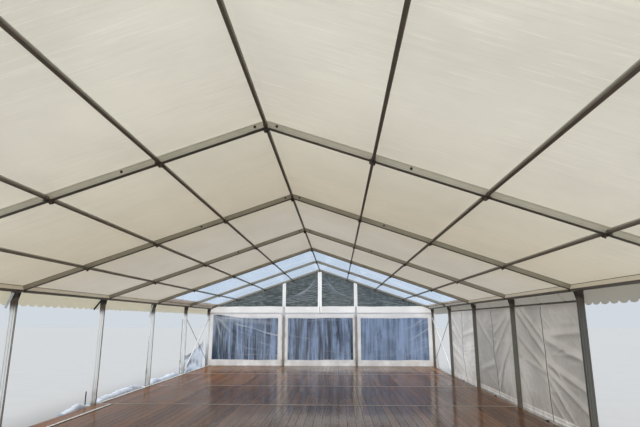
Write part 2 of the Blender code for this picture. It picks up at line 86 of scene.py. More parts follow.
RAIL_SIDE = 4.435
RAIL_TOP = 2.153
# Clear panes of the gable: their sides, and the heights and width of the welds around them
PANES = {"left": (-4.31, -1.68), "middle": (-1.28, 1.32), "right": (1.635, 4.3)}
PANE_FOOT = 0.32
PANE_HEAD = 1.93
PANE_WELD = 0.05
# The white header over the panes, and how far the seams above it stand from the middle
HEADER_FOOT = 2.12
HEADER_HEAD = 2.39
TOP_SEAM = 1.45


def frame_y(number):
    return -9.0 + (number - 1) * BAY


def bay_y(number):
    return frame_y(number) + BAY / 2


def slope_z(across, lift):
    """Height on the line of the roof slopes, lifted square to them."""
    return RIDGE_HEIGHT - abs(across) * SLOPE + lift / math.cos(PITCH)


def moved(x, y, z):
    return Matrix.Translation((x, y, z))


def slope_matrix(side, along, y, lift):
    """Carries a fitting made at the origin, with X down the slope and Z out of it, to its place."""
    across = along * math.cos(PITCH) + lift * math.sin(PITCH)
    height = RIDGE_HEIGHT - along * math.sin(PITCH) + lift * math.cos(PITCH)
    return moved(side * across, y, height) @ Matrix.Rotation(side * PITCH, 4, "Y")


def metres(name, description, default):
    return FloatProperty(name=name, description=description, default=default, unit="LENGTH")


def paint(name, description, default):
    return FloatVectorProperty(name=name, description=description, default=default, subtype="COLOR")


class MarqueeSizes(bpy.types.PropertyGroup):
    """Sizes that a user may change before the pieces are made."""

    scallops: IntProperty(name="Scallops", description="Scallops along a bay's valance", default=13, min=1)
    scallop_depth: metres("Scallop depth", "Rise from a scallop's foot to the points between", 0.046)
    sheet: metres("Sheet thickness", "Thickness of the PVC sheets", 0.0015)
    cover_sag: metres("Cover sag", "How far a roof cover hangs in the middle of a bay", 0.009)
    board_width: metres("Board width", "Width of a deck board", 0.1445)
    board_gap: metres("Board gap", "Gap between deck boards", 0.0035)
    strip: metres("Joint strip", "Width of the strips over the deck's joints", 0.042)


class MarqueeColours(bpy.types.PropertyGroup):
    """Colours that a user may change before the pieces are made."""

    cream: paint("Cream cover", "Roof covers and valances", (0.73, 0.712, 0.658))
    white: paint("White wall", "Curtains and the tied wall", (0.82, 0.8, 0.77))
    clear: paint("Clear film", "Clear roof covers", (0.49, 0.68, 0.92))
    film: paint("Gable film", "Clear film of the gable", (0.018, 0.046, 0.096))
    metal: paint("Rafters", "Dulled aluminium", (0.44, 0.435, 0.395))
    # The purlins' dark colour is partly painted shade, for the little light under them
    dark_metal: paint("Purlins", "Weathered purlins and brackets", (0.15, 0.13, 0.105))
    legs: paint("Legs", "Lighter aluminium of the legs", (0.62, 0.64, 0.64))
    board: paint("Boards", "Wet deck boards", (0.235, 0.15, 0.105))


class Wire:
    """An output socket on which arithmetic adds Math nodes."""

    def __init__(self, tree, socket):
        self.tree = tree
        self.socket = socket

    def math(self, operation, *others):
        return self.tree.math(operation, self, *others)

    def __rsub__(self, other):
        return self.tree.math("SUBTRACT", other, self)

    __add__ = __radd__ = partialmethod(math, "ADD")
    __mul__ = __rmul__ = partialmethod(math, "MULTIPLY")
    __sub__ = partialmethod(math, "SUBTRACT")
    __truediv__ = partialmethod(math, "DIVIDE")
    __mod__ = partialmethod(math, "MODULO")
    __abs__ = partialmethod(math, "ABSOLUTE")
    floor = partialmethod(math, "FLOOR")

    def above(self, edge, blur):
        """0 below the edge and 1 above it, with a soft step."""
        limits = {"Value": self, "From Min": edge - blur, "From Max": edge + blur}
        return self.tree.node("MapRange", {"interpolation_type": "SMOOTHSTEP"}, limits)

    def below(self, edge, blur):
        return 1 - self.above(edge, blur)

    def over(self, share, colour):
        """This colour with a share of another laid over it."""
        return self.tree.mix(share, self, colour)

    def tinted(self, share, tint):
        """This colour with a share of a tint multiplied in."""
        return self.tree.mix(share, self, tint, "MULTIPLY")


class Tree:
    """The node tree of one material."""

    def __init__(self, name):
        self.material = bpy.data.materials.new(name)
        self.material.use_nodes = True
        self.nodes = self.material.node_tree.nodes
        self.links = self.material.node_tree.links
        self.nodes.clear()

    def node(self, kind, settings, sockets, output=0):
        """Adds a node with its settings and then its inputs, and gives one of its outputs."""
        made = self.nodes.new(f"ShaderNode{kind}")
        for name, value in settings.items():
            setattr(made, name, value)
        for name, value in sockets.items():
            self.feed(made.inputs[name], value)
        return Wire(self, made.outputs[output]) if made.outputs else None

    def feed(self, socket, value):
        if isinstance(value, Wire):
            self.links.new(value.socket, socket)
        elif socket.type == "RGBA":
            socket.default_value = (*value, 1)
        else:
            socket.default_value = value

    def math(self, operation, *values):
        return self.node("Math", {"operation": operation}, dict(enumerate(values)))

    def place(self):
        return self.node("TexCoord", {}, {}, "Object")

    def axes(self):
        """The three numbers of a place, as wires."""
        split = self.node("SeparateXYZ", {}, {0: self.place()}).socket.node
        return [Wire(self, output) for output in split.outputs]

    def from_frame(self, y):
        """How far a place along the tent is from the nearest frame."""
        return abs((y + (BAY / 2 - frame_y(1))) % BAY - BAY / 2)

    def painted_shading(self):
        """Where a sheet's own attribute paints shade into the hollows of folds, and glints onto the gable
        film.
        """
        return self.node("Attribute", {"attribute_name": "painted_shading"}, {}, "Fac")

    def noise(self, scale, detail=4, roughness=0.55):
        """Noise with one scale, or with one for each axis."""
        scales = scale if isinstance(scale, tuple) else (scale, scale, scale)
        vector = self.node("Mapping", {}, {"Vector": self.place(), "Scale": scales})
        sockets = {"Vector": vector, "Scale": 1.0, "Detail": detail, "Roughness": roughness}
        return self.node("TexNoise", {}, sockets)

    def mix(self, share, first, second, blend="MIX"):
        settings = {"data_type": "RGBA", "blend_type": blend}
        return self.node("Mix", settings, {0: share, 6: first, 7: second}, 2)

    def surface(self, base, roughness, bump, more=None):
        """The main shader. Its bump is a height, a strength and a depth."""
        normal = self.node("Bump", {}, dict(zip(("Height", "Strength", "Distance"), bump)))
        sockets = {"Base Color": base, "Roughness": roughness, "Normal": normal, **(more or {})}
        return self.node("BsdfPrincipled", {}, sockets)

    def blend(self, shader, other, share):
        return self.node("MixShader", {}, {0: share, 1: shader, 2: other})

    def finish(self, shader):
        self.node("OutputMaterial", {}, {"Surface": shader})
        return self.material


def shade(colour, times):
    return tuple(min(1.0, channel * times) for channel in colour)


def frame_metal(tree, colours):
    """Dulled rafters with painted shade along their edges and painted light and shade by place, darker
    purlins with a painted highlight, and an eave purlin with a light web between flanges in painted shade.
    """
    metal, dark = partial(shade, colours.metal), partial(shade, colours.dark_metal)
    x, y, z = tree.axes()
    across = abs(x)
    lift = (z - RIDGE_HEIGHT + across * SLOPE) * math.cos(PITCH)
    between = tree.from_frame(y).above(0.0315, 0.001)
    outer = across.above(EAVE_ZONE, 0.02)
    purlin = between * across.below(EAVE_ZONE, 0.02)
    eave = between * outer * across.below(RAIL_SIDE, 0.002)
    hanger = lift.below(-0.0735, 0.0005) * outer * z.above(RAIL_TOP, 0.002) * between
    rail = across.above(RAIL_SIDE, 0.002) * z.below(RAIL_TOP, 0.002)
    blotch = tree.noise(9.0, 5, 0.6)
    streak = tree.noise((12, 12, 120), 4, 0.6)
    # Painted shade in the grooves of the rafters' profile
    groove_shade = abs(abs(lift + 0.004) - 0.02).below(0.0022, 0.001)
    # Painted shade: dark lines along the rafters' top edge, under the covers, and along their bottom edges
    edges = lift.above(0.036, 0.003) * 0.35 + lift.below(-0.04, 0.003) * 0.92
    rafter = tree.mix(blotch, metal(0.86), metal(1.12))
    rafter = rafter.over(streak.above(0.62, 0.12) * 0.3, metal(0.6))
    rafter = rafter.over(groove_shade * 0.35, metal(0.45))
    # Painted light on the rafters near the open end, and painted shade farther into the tent
    rafter = rafter.tinted(y.below(-5.0, 0.5), (1.32, 1.3, 1.24))
    rafter = rafter.tinted(y.above(-4.5, 0.5), (0.9, 0.86, 0.77))
    rafter = rafter.over(edges, dark(0.35))
    # Purlins: their dark colour partly stands in for the shade under them, and their lighter upper band is
    # a painted highlight
    bar = tree.mix(blotch, dark(0.7), dark(1.4))
    bar = bar.over(lift.above(-0.019, 0.002) * across.above(0.1, 0.02) * 0.85, metal(0.95))
    # Painted shade: dark bands at the top of the eave purlin's web, under the cover, and along its
    # underside
    flange_shade = lift.below(-0.046, 0.003) + lift.above(0.0175, 0.003)
    web = tree.mix(blotch, (0.86, 0.81, 0.68), (0.97, 0.93, 0.82)).over(flange_shade * 0.95, dark(0.35))
    base = rafter.over(purlin, bar).over(eave, web)
    base = base.over(hanger, (0.72, 0.69, 0.62)).over(rail * 0.85, dark(0.8))
    bump = (tree.noise(140.0, 2), 0.12, 0.001)
    return tree.surface(base, 0.46 + blotch * 0.2, bump, {"Metallic": (1 - eave) * 0.35})


def leg_metal(tree, colour, head, metallic=0.4, inward_shading=0.0, glow=0.0):
    """Satin aluminium with faint lengthwise streaks, a splashed foot and a head of another tone, painted
    shade on the legs and painted light on the gable posts.
    """
    y, z = tree.axes()[1:]
    grain = tree.noise((270, 270, 4.5), 4, 0.6)
    blotch = tree.noise(6.0, 5, 0.6)
    dirt = (0.42 - z).above(0.05, 0.35) * blotch.above(0.42, 0.2)
    base = tree.mix(grain, shade(colour, 0.82), shade(colour, 1.12))
    # Painted light: the shaded legs are lighter farther into the tent
    base = base.tinted(y.above(-1.5, 0.5) * inward_shading, (1.55, 1.55, 1.5))
    base = base.over(dirt * 0.7, (0.16, 0.12, 0.08))
    # The head's other tone is painted: shade on the legs, and light on the gable posts
    base = base.over(z.above(2.02, 0.09), tree.mix(blotch, shade(head, 0.75), shade(head, 1.4)))
    if not glow:
        base = base.over(z.above(2.19, 0.03) * blotch.above(0.36, 0.1) * 0.85, (0.042, 0.034, 0.033))
    # Painted light: the gable posts glow above the header
    more = {
        "Metallic": metallic,
        "Emission Color": tree.mix(z.above(HEADER_HEAD, 0.01), (0, 0, 0), head),
        "Emission Strength": glow,
    }
    return tree.surface(base, 0.38 + blotch * 0.2, (grain, 0.06, 0.001), more)


def galvanised(tree, colour, roughness=0.45):
    """Dull zinc with its spangle."""
    sockets = {"Vector": tree.place(), "Scale": 70.0}
    cells = tree.node("TexVoronoi", {"feature": "F1"}, sockets, "Color")
    tone = tree.node("SeparateColor", {}, {0: cells})
    blotch = tree.noise(14.0)
    base = tree.mix(tone * 0.5 + blotch * 0.5, shade(colour, 0.72), shade(colour, 1.25))
    bump = (blotch, 0.08, 0.001)
    return tree.surface(base, roughness + blotch * 0.2, bump, {"Metallic": 0.7})


def cream_sheet(tree, colours):
    """Coated cream sheet that light comes through, with a woven ground, short faint wrinkles with painted
    shade and highlights, and painted light and shade along the tent and on the valances.
    """
    cream = partial(shade, colours.cream)
    x, y = tree.axes()[:2]
    cloud = tree.noise(0.9, 5, 0.6)
    patch = tree.noise(0.8, 3, 0.5).above(0.45, 0.12)
    drag = tree.noise((1.1, 15.0, 1.1), 5, 0.65)
    hair = tree.noise((2.2, 44.0, 2.2), 3)
    fine = tree.noise((5, 60, 5), 3, 0.5)
    settings = {"wave_type": "BANDS", "bands_direction": "Y"}
    weave = tree.node("TexWave", settings, {"Vector": tree.place(), "Scale": 90.0, "Distortion": 0.4})
    base = tree.mix(cloud.above(0.5, 0.2), cream(0.93), cream(1.03))
    # Painted shade and painted highlight along the wrinkles: darker drag marks and hair creases, lighter
    # hair creases
    base = base.over(drag.above(0.58, 0.05) * patch * 0.24, cream(0.85))
    base = base.over(hair.above(0.61, 0.03) * patch * 0.5, cream(1.16))
    base = base.over(hair.below(0.39, 0.03) * patch * 0.34, cream(0.84))
    base = base.over(tree.from_frame(y).below(0.085, 0.006) * 0.3, cream(1.12))
    # Painted shade deeper into the tent, and a bluer painted light towards the clear bays
    inward_shading = y.above(-5.4, 2.6)
    deeper_skylight = y.above(-2.6, 1.6)
    toned = []
    for tone in (base, base.over(0.5, cream(1.3))):
        tone = tone.tinted(inward_shading, (0.9, 0.87, 0.82)).tinted(deeper_skylight, (1.0, 1.02, 1.08))
        # Painted light on the left valances and painted shade on the right ones
        tone = tone.over(x.below(-4.545, 0.004), (0.98, 0.95, 0.84))
        toned.append(tone.over(x.above(4.545, 0.004) * 0.9, (0.72, 0.705, 0.66)))
    bump = (drag * 0.6 + hair * 0.4 + fine * 0.1 + weave * 0.02, 0.4, 0.015)
    front = tree.surface(toned[0], 0.5 + fine * 0.16, bump, {"Sheen Weight": 0.08})
    return tree.blend(front, tree.node("BsdfTranslucent", {}, {"Color": toned[1]}), 0.6)


def white_sheet(tree, colour, through, glow=0.0, dirt=0.0, far=0.0):
    """White sheet with soft creases, painted shade in the hollows of its folds, a painted glow and a little
    dirt at its foot.
    """
    y, z = tree.axes()[1:]
    cloud = tree.noise(1.7, 5, 0.6)
    creases = tree.noise((4.5, 4.5, 2.2), 5, 0.65)
    foot = (0.6 - z).above(0.25, 0.35) * creases.above(0.48, 0.12)
    base = tree.mix(cloud.above(0.5, 0.25), shade(colour, 0.9), shade(colour, 1.05))
    # Painted shade in the hollows of folds
    base = base.over(tree.painted_shading(), shade(colour, 0.46)).over(foot * dirt, (0.36, 0.3, 0.23))
    # Painted light: the sheet glows, and the walls of the far bay glow brighter
    lit = base.tinted(y.above(3.0, 0.05) * far, (3.3, 3.36, 3.48)) if far else base
    glowing = {"Emission Color": lit, "Emission Strength": glow}
    front = tree.surface(base, 0.4 + cloud * 0.15, (creases, 0.3, 0.02), glowing)
    return tree.blend(front, tree.node("BsdfTranslucent", {}, {"Color": base}), through)


def clear_roof_film(tree, colours):
    """Clear roof film, wet and pale against the sky, with hazy patches, cream bands along its edges and a
    glow of painted skylight.
    """
    x, y = tree.axes()[:2]
    cloud = tree.noise((0.5, 1.5, 0.5), 2, 0.4)
    drift = tree.noise((1.2, 3.0, 1.2), 2, 0.4)
    ripple = tree.noise((0.8, 5.0, 0.8), 4, 0.6)
    band = x.below(-4.12, 0.02) + x.above(4.24, 0.02)
    haze = cloud.above(0.55, 0.2) * 0.3 + drift.above(0.6, 0.12) * 0.16
    haze = haze + tree.from_frame(y).below(0.11, 0.03) * (1 - haze) * 0.7
    base = tree.mix(haze, colours.clear, (0.92, 0.96, 1.0)).over(band, (0.74, 0.66, 0.56))
    # Painted light: the film glows with the sky's light, and its base is dimmed outside the cream bands so
    # that the glow carries it
    more = {
        "Alpha": 0.34 + haze * 0.5 + band * 0.6,
        "Emission Color": base.tinted(band, (0.2, 0.2, 0.2)),
        "Emission Strength": 0.62,
    }
    base = base.tinted(1 - band, (0.42, 0.42, 0.43))
    return tree.surface(base, 0.25 + haze * 0.3, (ripple, 0.35, 0.02), more)


def gable_film(tree, colours):
    """Clear gable film with upright streaks of condensation below, fine level ripples above, painted glints
    along its folds and white seams that glow as painted light.
    """
    x, _, z = tree.axes()
    streak = tree.noise((3.4, 3.4, 0.3), 5, 0.65)
    fine = tree.noise((17, 17, 1.1), 4, 0.6)
    thread = tree.noise((8.0, 8.0, 0.5), 3, 0.5)
    ripple = tree.noise((2.2, 2.2, 1.6), 4, 0.6)
    blur = tree.noise((1.3, 1.3, 1.1), 5, 0.6)
    veil = tree.noise((3.2, 3.2, 26.0), 5, 0.7)
    leaf = tree.noise((2.4, 2.4, 3.0), 4, 0.6)
    low = z.below(HEADER_FOOT, 0.02)
    right = x.above(1.5, 0.1) * low
    wet = streak.above(0.5, 0.05) * 0.4 + fine.above(0.54, 0.06) * streak.above(0.44, 0.08) * 0.3
    wet = wet + thread.above(0.52, 0.05) * 0.34
    wet = (wet * (1 - right * 0.4) + right * 0.5) * (0.72 + blur.above(0.46, 0.12) * 0.45)
    pane = tree.mix(wet, colours.film, (0.44, 0.58, 0.84))
    pane = pane.over(blur.above(0.55, 0.1) * 0.35 * x.below(-1.5, 0.1), (0.07, 0.1, 0.11))
    top = tree.mix(leaf.above(0.48, 0.14) * 0.8, (0.056, 0.08, 0.074), (0.108, 0.142, 0.134))
    top = top.over(veil.above(0.56, 0.05) * 0.75, (0.36, 0.42, 0.42))
    top = top.over(veil.below(0.44, 0.05) * 0.6, (0.025, 0.04, 0.036))
    top = top.over(x.above(0.3, 0.3) * 0.14, (0.55, 0.62, 0.66))
    seam = abs(x).below(0.078, 0.006) + abs(abs(x) - TOP_SEAM).below(0.066, 0.006)
    seam = seam * (1 - low)
    # Painted glints where the film's folds catch the light
    base = top.over(low, pane).over(tree.painted_shading(), (0.74, 0.8, 0.88)).over(seam, (0.9, 0.9, 0.88))
    # Painted light: the white seams glow
    more = {
        "Alpha": 0.9,
        "Emission Color": tree.mix(seam, (0, 0, 0), (0.9, 0.89, 0.86)),
        "Emission Strength": 0.38,
    }
    return tree.surface(base, 0.14 + wet * 0.25, (ripple, 0.3, 0.03), more)


def board_rows(sizes):
    """The pitch of the deck boards, how many lie side by side and half the width they cover."""
    pitch = sizes.board_width + sizes.board_gap
    count = int((2 * DECK_SIDE + sizes.board_gap) / pitch)
    return pitch, count, (count * pitch - sizes.board_gap) / 2


def wet_boards(tree, colours):
    """Dark ribbed boards under a film of water, each with its own tone, oranger to the left."""
    board = partial(shade, colours.board)
    pitch, _, half_width = board_rows(bpy.context.scene.marquee_sizes)
    x, y = tree.axes()[:2]
    from_edge = x + half_width + pitch
    bay = ((y + (BAY - frame_y(1))) / BAY).floor()
    pair = tree.node("CombineXYZ", {}, {0: (from_edge / pitch).floor(), 1: bay})
    tone = tree.node("TexWhiteNoise", {"noise_dimensions": "2D"}, {"Vector": pair})
    groove = abs((from_edge / (pitch / 3)) % 1.0 - 0.5).above(0.42, 0.05)
    swell = tree.noise((5, 11, 5), 4, 0.6)
    grain = tree.noise((34, 1.6, 34), 6, 0.65)
    puddle = tree.noise((0.55, 0.44, 0.55), 5)
    wet = puddle.above(0.5, 0.1)
    broad = tree.noise(0.45, 3, 0.5)
    grey = tree.mix(tone, board(0.62), board(1.25))
    warm = tree.mix(tone, (0.185, 0.06, 0.013), (0.36, 0.138, 0.033))
    side = x.below(-1.4, 1.4) + x.above(2.2, 1.4) * 0.6
    base = grey.over(side * (0.7 + broad.above(0.5, 0.12) * 0.3), warm)
    base = base.over(grain.above(0.55, 0.15) * 0.45, board(0.35))
    # Wet patches are darker; the grooves between the ribs take painted shade
    base = base.over(wet * 0.22, board(0.55)).over(groove * 0.8, board(0.1))
    more = {
        "Specular IOR Level": 0.42,
        "Coat Weight": 0.06 + wet * 0.22,
        "Coat Roughness": 0.05,
        "Coat IOR": 1.33,
    }
    bump = ((1 - groove) * 0.5 + grain * 0.5 + swell * 1.2, 0.45, 0.003)
    glossy = tree.surface(base, 0.06 + (1 - wet) * 0.08 + grain * 0.04, bump, more)
    dull = tree.node("BsdfDiffuse", {}, {"Color": base})
    return tree.blend(glossy, dull, 0.28 + x.below(-1.4, 1.6) * 0.34 + x.above(2.2, 1.4) * 0.24)


def plain(tree, colour, roughness, metallic=0.0, grain=60.0):
    """A small rigid piece's finish: one colour with fine wear."""
    wear = tree.noise(grain, 4, 0.6)
    base = tree.mix(wear, shade(colour, 0.72), shade(colour, 1.3))
    bump = (wear, 0.1, 0.001)
    return tree.surface(base, roughness + wear * 0.15, bump, {"Metallic": metallic})


def finish_named(name):
    """One material for all the pieces that share it."""
    colours = bpy.context.scene.marquee_colours
    dark = partial(shade, colours.dark_metal)
    makers = {
        "frame aluminium": (frame_metal, colours),
        "leg aluminium": (leg_metal, colours.legs, dark(0.9)),
        "shaded leg aluminium": (leg_metal, shade(colours.metal, 0.29), dark(0.8), 0.4, 1.0),
        # The gable posts' bright head and their glow are painted light
        "gable post aluminium": (leg_metal, (0.44, 0.41, 0.37), (0.95, 0.94, 0.91), 0.0, 0.0, 0.32),
        "cream PVC": (cream_sheet, colours),
        # The glow values of the white sheets are painted light
        "white PVC": (white_sheet, colours.white, 0.5, 0.12, 0.35, 1.0),
        "border PVC": (white_sheet, (0.84, 0.83, 0.82), 0.45, 0.42, 0.3),
        "header PVC": (white_sheet, (0.84, 0.83, 0.82), 0.45, 0.66),
        # The laid and heaped sheets' bluish white is painted skylight
        "laid PVC": (white_sheet, (0.78, 0.83, 0.9), 0.3, 0.14),
        "heaped PVC": (white_sheet, (0.84, 0.9, 0.98), 0.35, 0.28),
        "clear roof film": (clear_roof_film, colours),
        "clear gable film": (gable_film, colours),
        "wet boards": (wet_boards, colours),
        "galvanised steel": (galvanised, (0.42, 0.43, 0.44)),
        "dark bracket": (galvanised, colours.dark_metal, 0.5),
        "blackened casting": (plain, (0.04, 0.036, 0.034), 0.5, 0.3),
        "white tube": (plain, (0.8, 0.8, 0.79), 0.4, 0.0, 30.0),
        "black webbing": (plain, (0.025, 0.025, 0.028), 0.75, 0.0, 400.0),
        "joint strip": (plain, (0.4, 0.37, 0.33), 0.45),
        "metal trim": (plain, (0.76, 0.74, 0.68), 0.5),
        "bearer timber": (plain, (0.09, 0.06, 0.04), 0.6, 0.0, 20.0),
    }
    if name in bpy.data.materials:
        return bpy.data.materials[name]
    tree = Tree(name)
    maker, *values = makers[name]
    return tree.finish(maker(tree, *values))


def deselect():
    if bpy.context.mode != "OBJECT":
        bpy.ops.object.mode_set(mode="OBJECT")
    bpy.ops.object.select_all(action="DESELECT")


def reworked(operator, **settings):
    """The active object, after an operator has worked on all of its mesh."""
    bpy.ops.object.mode_set(mode="EDIT")
    bpy.ops.mesh.select_all(action="SELECT")
    operator(**settings)
    bpy.ops.object.mode_set(mode="OBJECT")
    return bpy.context.active_object


def bevelled(offset, segments):
    return reworked(bpy.ops.mesh.bevel, offset=offset, segments=segments, affect="EDGES")


def rounded_box(size, place, bevel, segments=2):
    deselect()
    bpy.ops.mesh.primitive_cube_add(size=1, location=place)
    bpy.context.active_object.scale = size
    bpy.ops.object.transform_apply(location=True, rotation=False, scale=True)
    return bevelled(bevel, segments)


def prism(sides, radius, depth, middle):
    """A prism or cylinder along Z, with its middle at a height."""
    deselect()
    bpy.ops.mesh.primitive_cylinder_add(vertices=sides, radius=radius, depth=depth, location=(0, 0, middle))
    bpy.ops.object.transform_apply(location=True, rotation=False, scale=False)
    return bpy.context.active_object


def hex_bolt(radius, height):
    """A bolt head on its washer, standing along +Z from the origin."""
    washer = prism(16, radius * 1.7, height * 0.25, height * 0.125)
    prism(6, radius, height * 0.8, height * 0.6)
    return joined("bolt", [washer, bevelled(radius * 0.12, 1)])


def picked(objects):
    """Selects these objects alone, with the first as the active one."""
    deselect()
    for obj in objects:
        obj.select_set(True)
    bpy.context.view_layer.objects.active = objects[0]


def linked(name, data):
    """A new object of the scene."""
    obj = bpy.data.objects.new(name, data)
    bpy.context.scene.collection.objects.link(obj)
    return obj


def joined(name, objects):
    """Several objects as one."""
    picked(objects)
    if len(objects) > 1:
        bpy.ops.object.join()
    objects[0].name = name
    return objects[0]


def copies(name, pattern, matrices):
    """One piece made of copies of a pattern, which is then removed."""
    made = []
    for matrix in matrices:
        made.append(linked(name, pattern.data.copy()))
        made[-1].data.transform(matrix)
    bpy.data.objects.remove(pattern)
    return joined(name, made)


def coated(obj, finish):
    obj.data.materials.clear()
    obj.data.materials.append(finish_named(finish))


def dressed(obj, finish, replaces=()):
    """Gives a finished piece its material and its body, and hides the parts that it replaces."""
    coated(obj, finish)
    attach(obj, "root")
    if replaces:
        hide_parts(*replaces)
    return obj


def shares(count):
    return np.linspace(0, 1, count)


def grid(first, second):
    """Two arrays that vary along the rows and the columns of a grid."""
    return np.meshgrid(first, second, indexing="ij")


def cloth(name, points, flat, thickness, painted_shading=None, keep=None):
    """A sheet from a grid of points, with its cut size in metres as UV and a real thickness.

    The painted_shading values, from 0 to 1, say where shade is painted into the hollows of folds, and where
    glints are painted on the gable film.
    """
    rows, columns = points.shape[:2]
    number = np.arange(rows * columns).reshape(rows, columns)
    quads = np.stack([number[:-1, :-1], number[1:, :-1], number[1:, 1:], number[:-1, 1:]], -1)
    quads = quads.reshape(-1, 4) if keep is None else quads[keep]
    mesh = bpy.data.meshes.new(name)
    mesh.from_pydata(points.reshape(-1, 3).tolist(), [], quads.tolist())
    cut = np.stack(grid(np.linspace(0, flat[0], rows), np.linspace(0, flat[1], columns)), -1).reshape(-1, 2)
    corners = np.empty(len(mesh.loops), int)
    mesh.loops.foreach_get("vertex_index", corners)
    mesh.uv_layers.new(name="cut").data.foreach_set("uv", cut[corners].ravel())
    if painted_shading is not None:
        mesh.attributes.new("painted_shading", "FLOAT", "POINT").data.foreach_set("value", painted_shading.ravel())
    obj = linked(name, mesh)
    picked([obj])
    reworked(bpy.ops.mesh.delete_loose)
    wall = obj.modifiers.new("thickness", "SOLIDIFY")
    wall.thickness = thickness
    wall.offset = 0
    bpy.ops.object.modifier_apply(modifier=wall.name)
    bpy.ops.object.shade_smooth_by_angle(angle=math.radians(50))
    return obj


def ripples(a, b, seed, waves, spread_a, spread_b):
    """Smooth undulation over two arrays, from sine waves with seeded directions, from about -1 to 1."""
    random = np.random.default_rng(seed)
    total = np.zeros(np.broadcast(a, b).shape)
    for _ in range(waves):
        turn_a = random.normal(0, spread_a)
        turn_b = random.normal(0, spread_b)
        total += np.sin(a * turn_a + b * turn_b + random.uniform(0, 2 * math.pi))
    return total / math.sqrt(waves)


def step(value, low, high):
    share = np.clip((value - low) / (high - low), 0, 1)
    return share * share * (3 - 2 * share)


def crease(u, v, line, width, depth):
    """A soft fold across a sheet, from a line's first two numbers to its last two, fading past its ends."""
    u0, v0, u1, v1 = line
    length = math.hypot(u1 - u0, v1 - v0)
    along = ((u - u0) * (u1 - u0) + (v - v0) * (v1 - v0)) / length
    aside = ((u - u0) * (v1 - v0) - (v - v0) * (u1 - u0)) / length
    reach = step(along, -0.25, 0.1) * (1 - step(along, length - 0.1, length + 0.25))
    valley = aside / width
    return depth * reach * (np.exp(-(valley**2)) - 0.5 * np.exp(-((valley - 1.6) ** 2)))


def path_length(points):
    """Length along the rows of a grid of points, for each column."""
    return np.linalg.norm(np.diff(points, axis=0), axis=-1).sum(0)


class Finish(bpy.types.Operator):
    """Gives the aluminium and steel of the frame their finishes."""

    bl_idname = "marquee.finish_frame"
    bl_label = "Finish the frame"

    def execute(self, context):
        finishes = {
            "roof_frame": "frame aluminium",
            "gable_": "gable post aluminium",
            "leg_left": "leg aluminium",
            "leg_right": "shaded leg aluminium",
            "brace_tube": "white tube",
            "brace_bar": "galvanised steel",
        }
        for name, node in NODES.items():
            for start, finish in finishes.items():
                if name.startswith(start):
                    coated(node, finish)
        return {"FINISHED"}


class RoofCovers(bpy.types.Operator):
    """Makes the roof covers, cream and clear."""

    bl_idname = "marquee.roof_covers"
    bl_label = "Roof covers"

    def execute(self, context):
        sizes = context.scene.marquee_sizes
        half_rail = 0.0185
        reach = BAY / 2 - half_rail
        across, along = grid(np.linspace(-VALANCE_X, VALANCE_X, 127), np.linspace(-reach, reach, 51))
        span = np.abs(across)
        edge = 1 - (np.abs(along) / reach) ** 6
        inner = 1 - step(span, 3.9, 4.3)
        off_ridge = step(span, 0.0, 0.25)
        on_slope = 0.3 + 0.7 * (span < 4.25)
        sag = sizes.cover_sag * (1 - (along / reach) ** 2) * inner * (0.35 + 0.65 * off_ridge)
        rounded = np.sqrt(across**2 + 0.012**2)
        flat = (2 * VALANCE_X / math.cos(PITCH), 2 * reach)
        for number in BAY_NUMBERS:
            wave = ripples(across, along, 40 + number, 14, 1.6, 13.0) * 0.0007
            wave += ripples(across, along, 80 + number, 10, 2.2, 3.0) * 0.001
            lift = COVER_LIFT - sag + wave * edge * (0.25 + 0.75 * inner) * on_slope
            points = np.stack([across, along + bay_y(number), slope_z(rounded, lift)], -1)
            clear = "clear_" if number >= FIRST_CLEAR_BAY else ""
            obj = cloth(f"roof_sheet_{clear}{number}", points, flat, sizes.sheet)
            frames = [f"roof_frame_{number}", f"roof_frame_{number + 1}"]
            finish, slot = ("clear roof film", "clear_pvc") if clear else ("cream PVC", "cream_pvc")
            dressed(obj, finish, [f"roof_cover_{clear}{number}"])
        return {"FINISHED"}


class Valances(bpy.types.Operator):
    """Makes the scalloped valances under both eaves."""

    bl_idname = "marquee.valances"
    bl_label = "Valances"

    def execute(self, context):
        sizes = context.scene.marquee_sizes
        half = BAY / 2 - 0.002
        drop, along = grid(shares(12), np.linspace(-half, half, sizes.scallops * 10 + 1))
        phase = np.abs(np.mod((along + half) / (2 * half) * sizes.scallops, 1) * 2 - 1)
        foot = VALANCE_FOOT + sizes.scallop_depth * (1 - np.sqrt(np.clip(1 - phase**2, 0, 1)))
        head = slope_z(VALANCE_X, COVER_LIFT)
        flat = (head - VALANCE_FOOT, 2 * half)
        for number in BAY_NUMBERS:
            for side, word in SIDES.items():
                sway = ripples(along, drop, 200 + 10 * number + side, 8, 9.0, 0.7)
                x = side * (VALANCE_X + 0.001 + (0.006 * drop + 0.0045 * drop * sway))
                points = np.stack([x, along + bay_y(number), head + (foot - head) * drop], -1)[:, ::-side]
                obj = cloth(f"valance_{word}_{number}", points, flat, sizes.sheet)
                dressed(obj, "cream PVC")
        return {"FINISHED"}


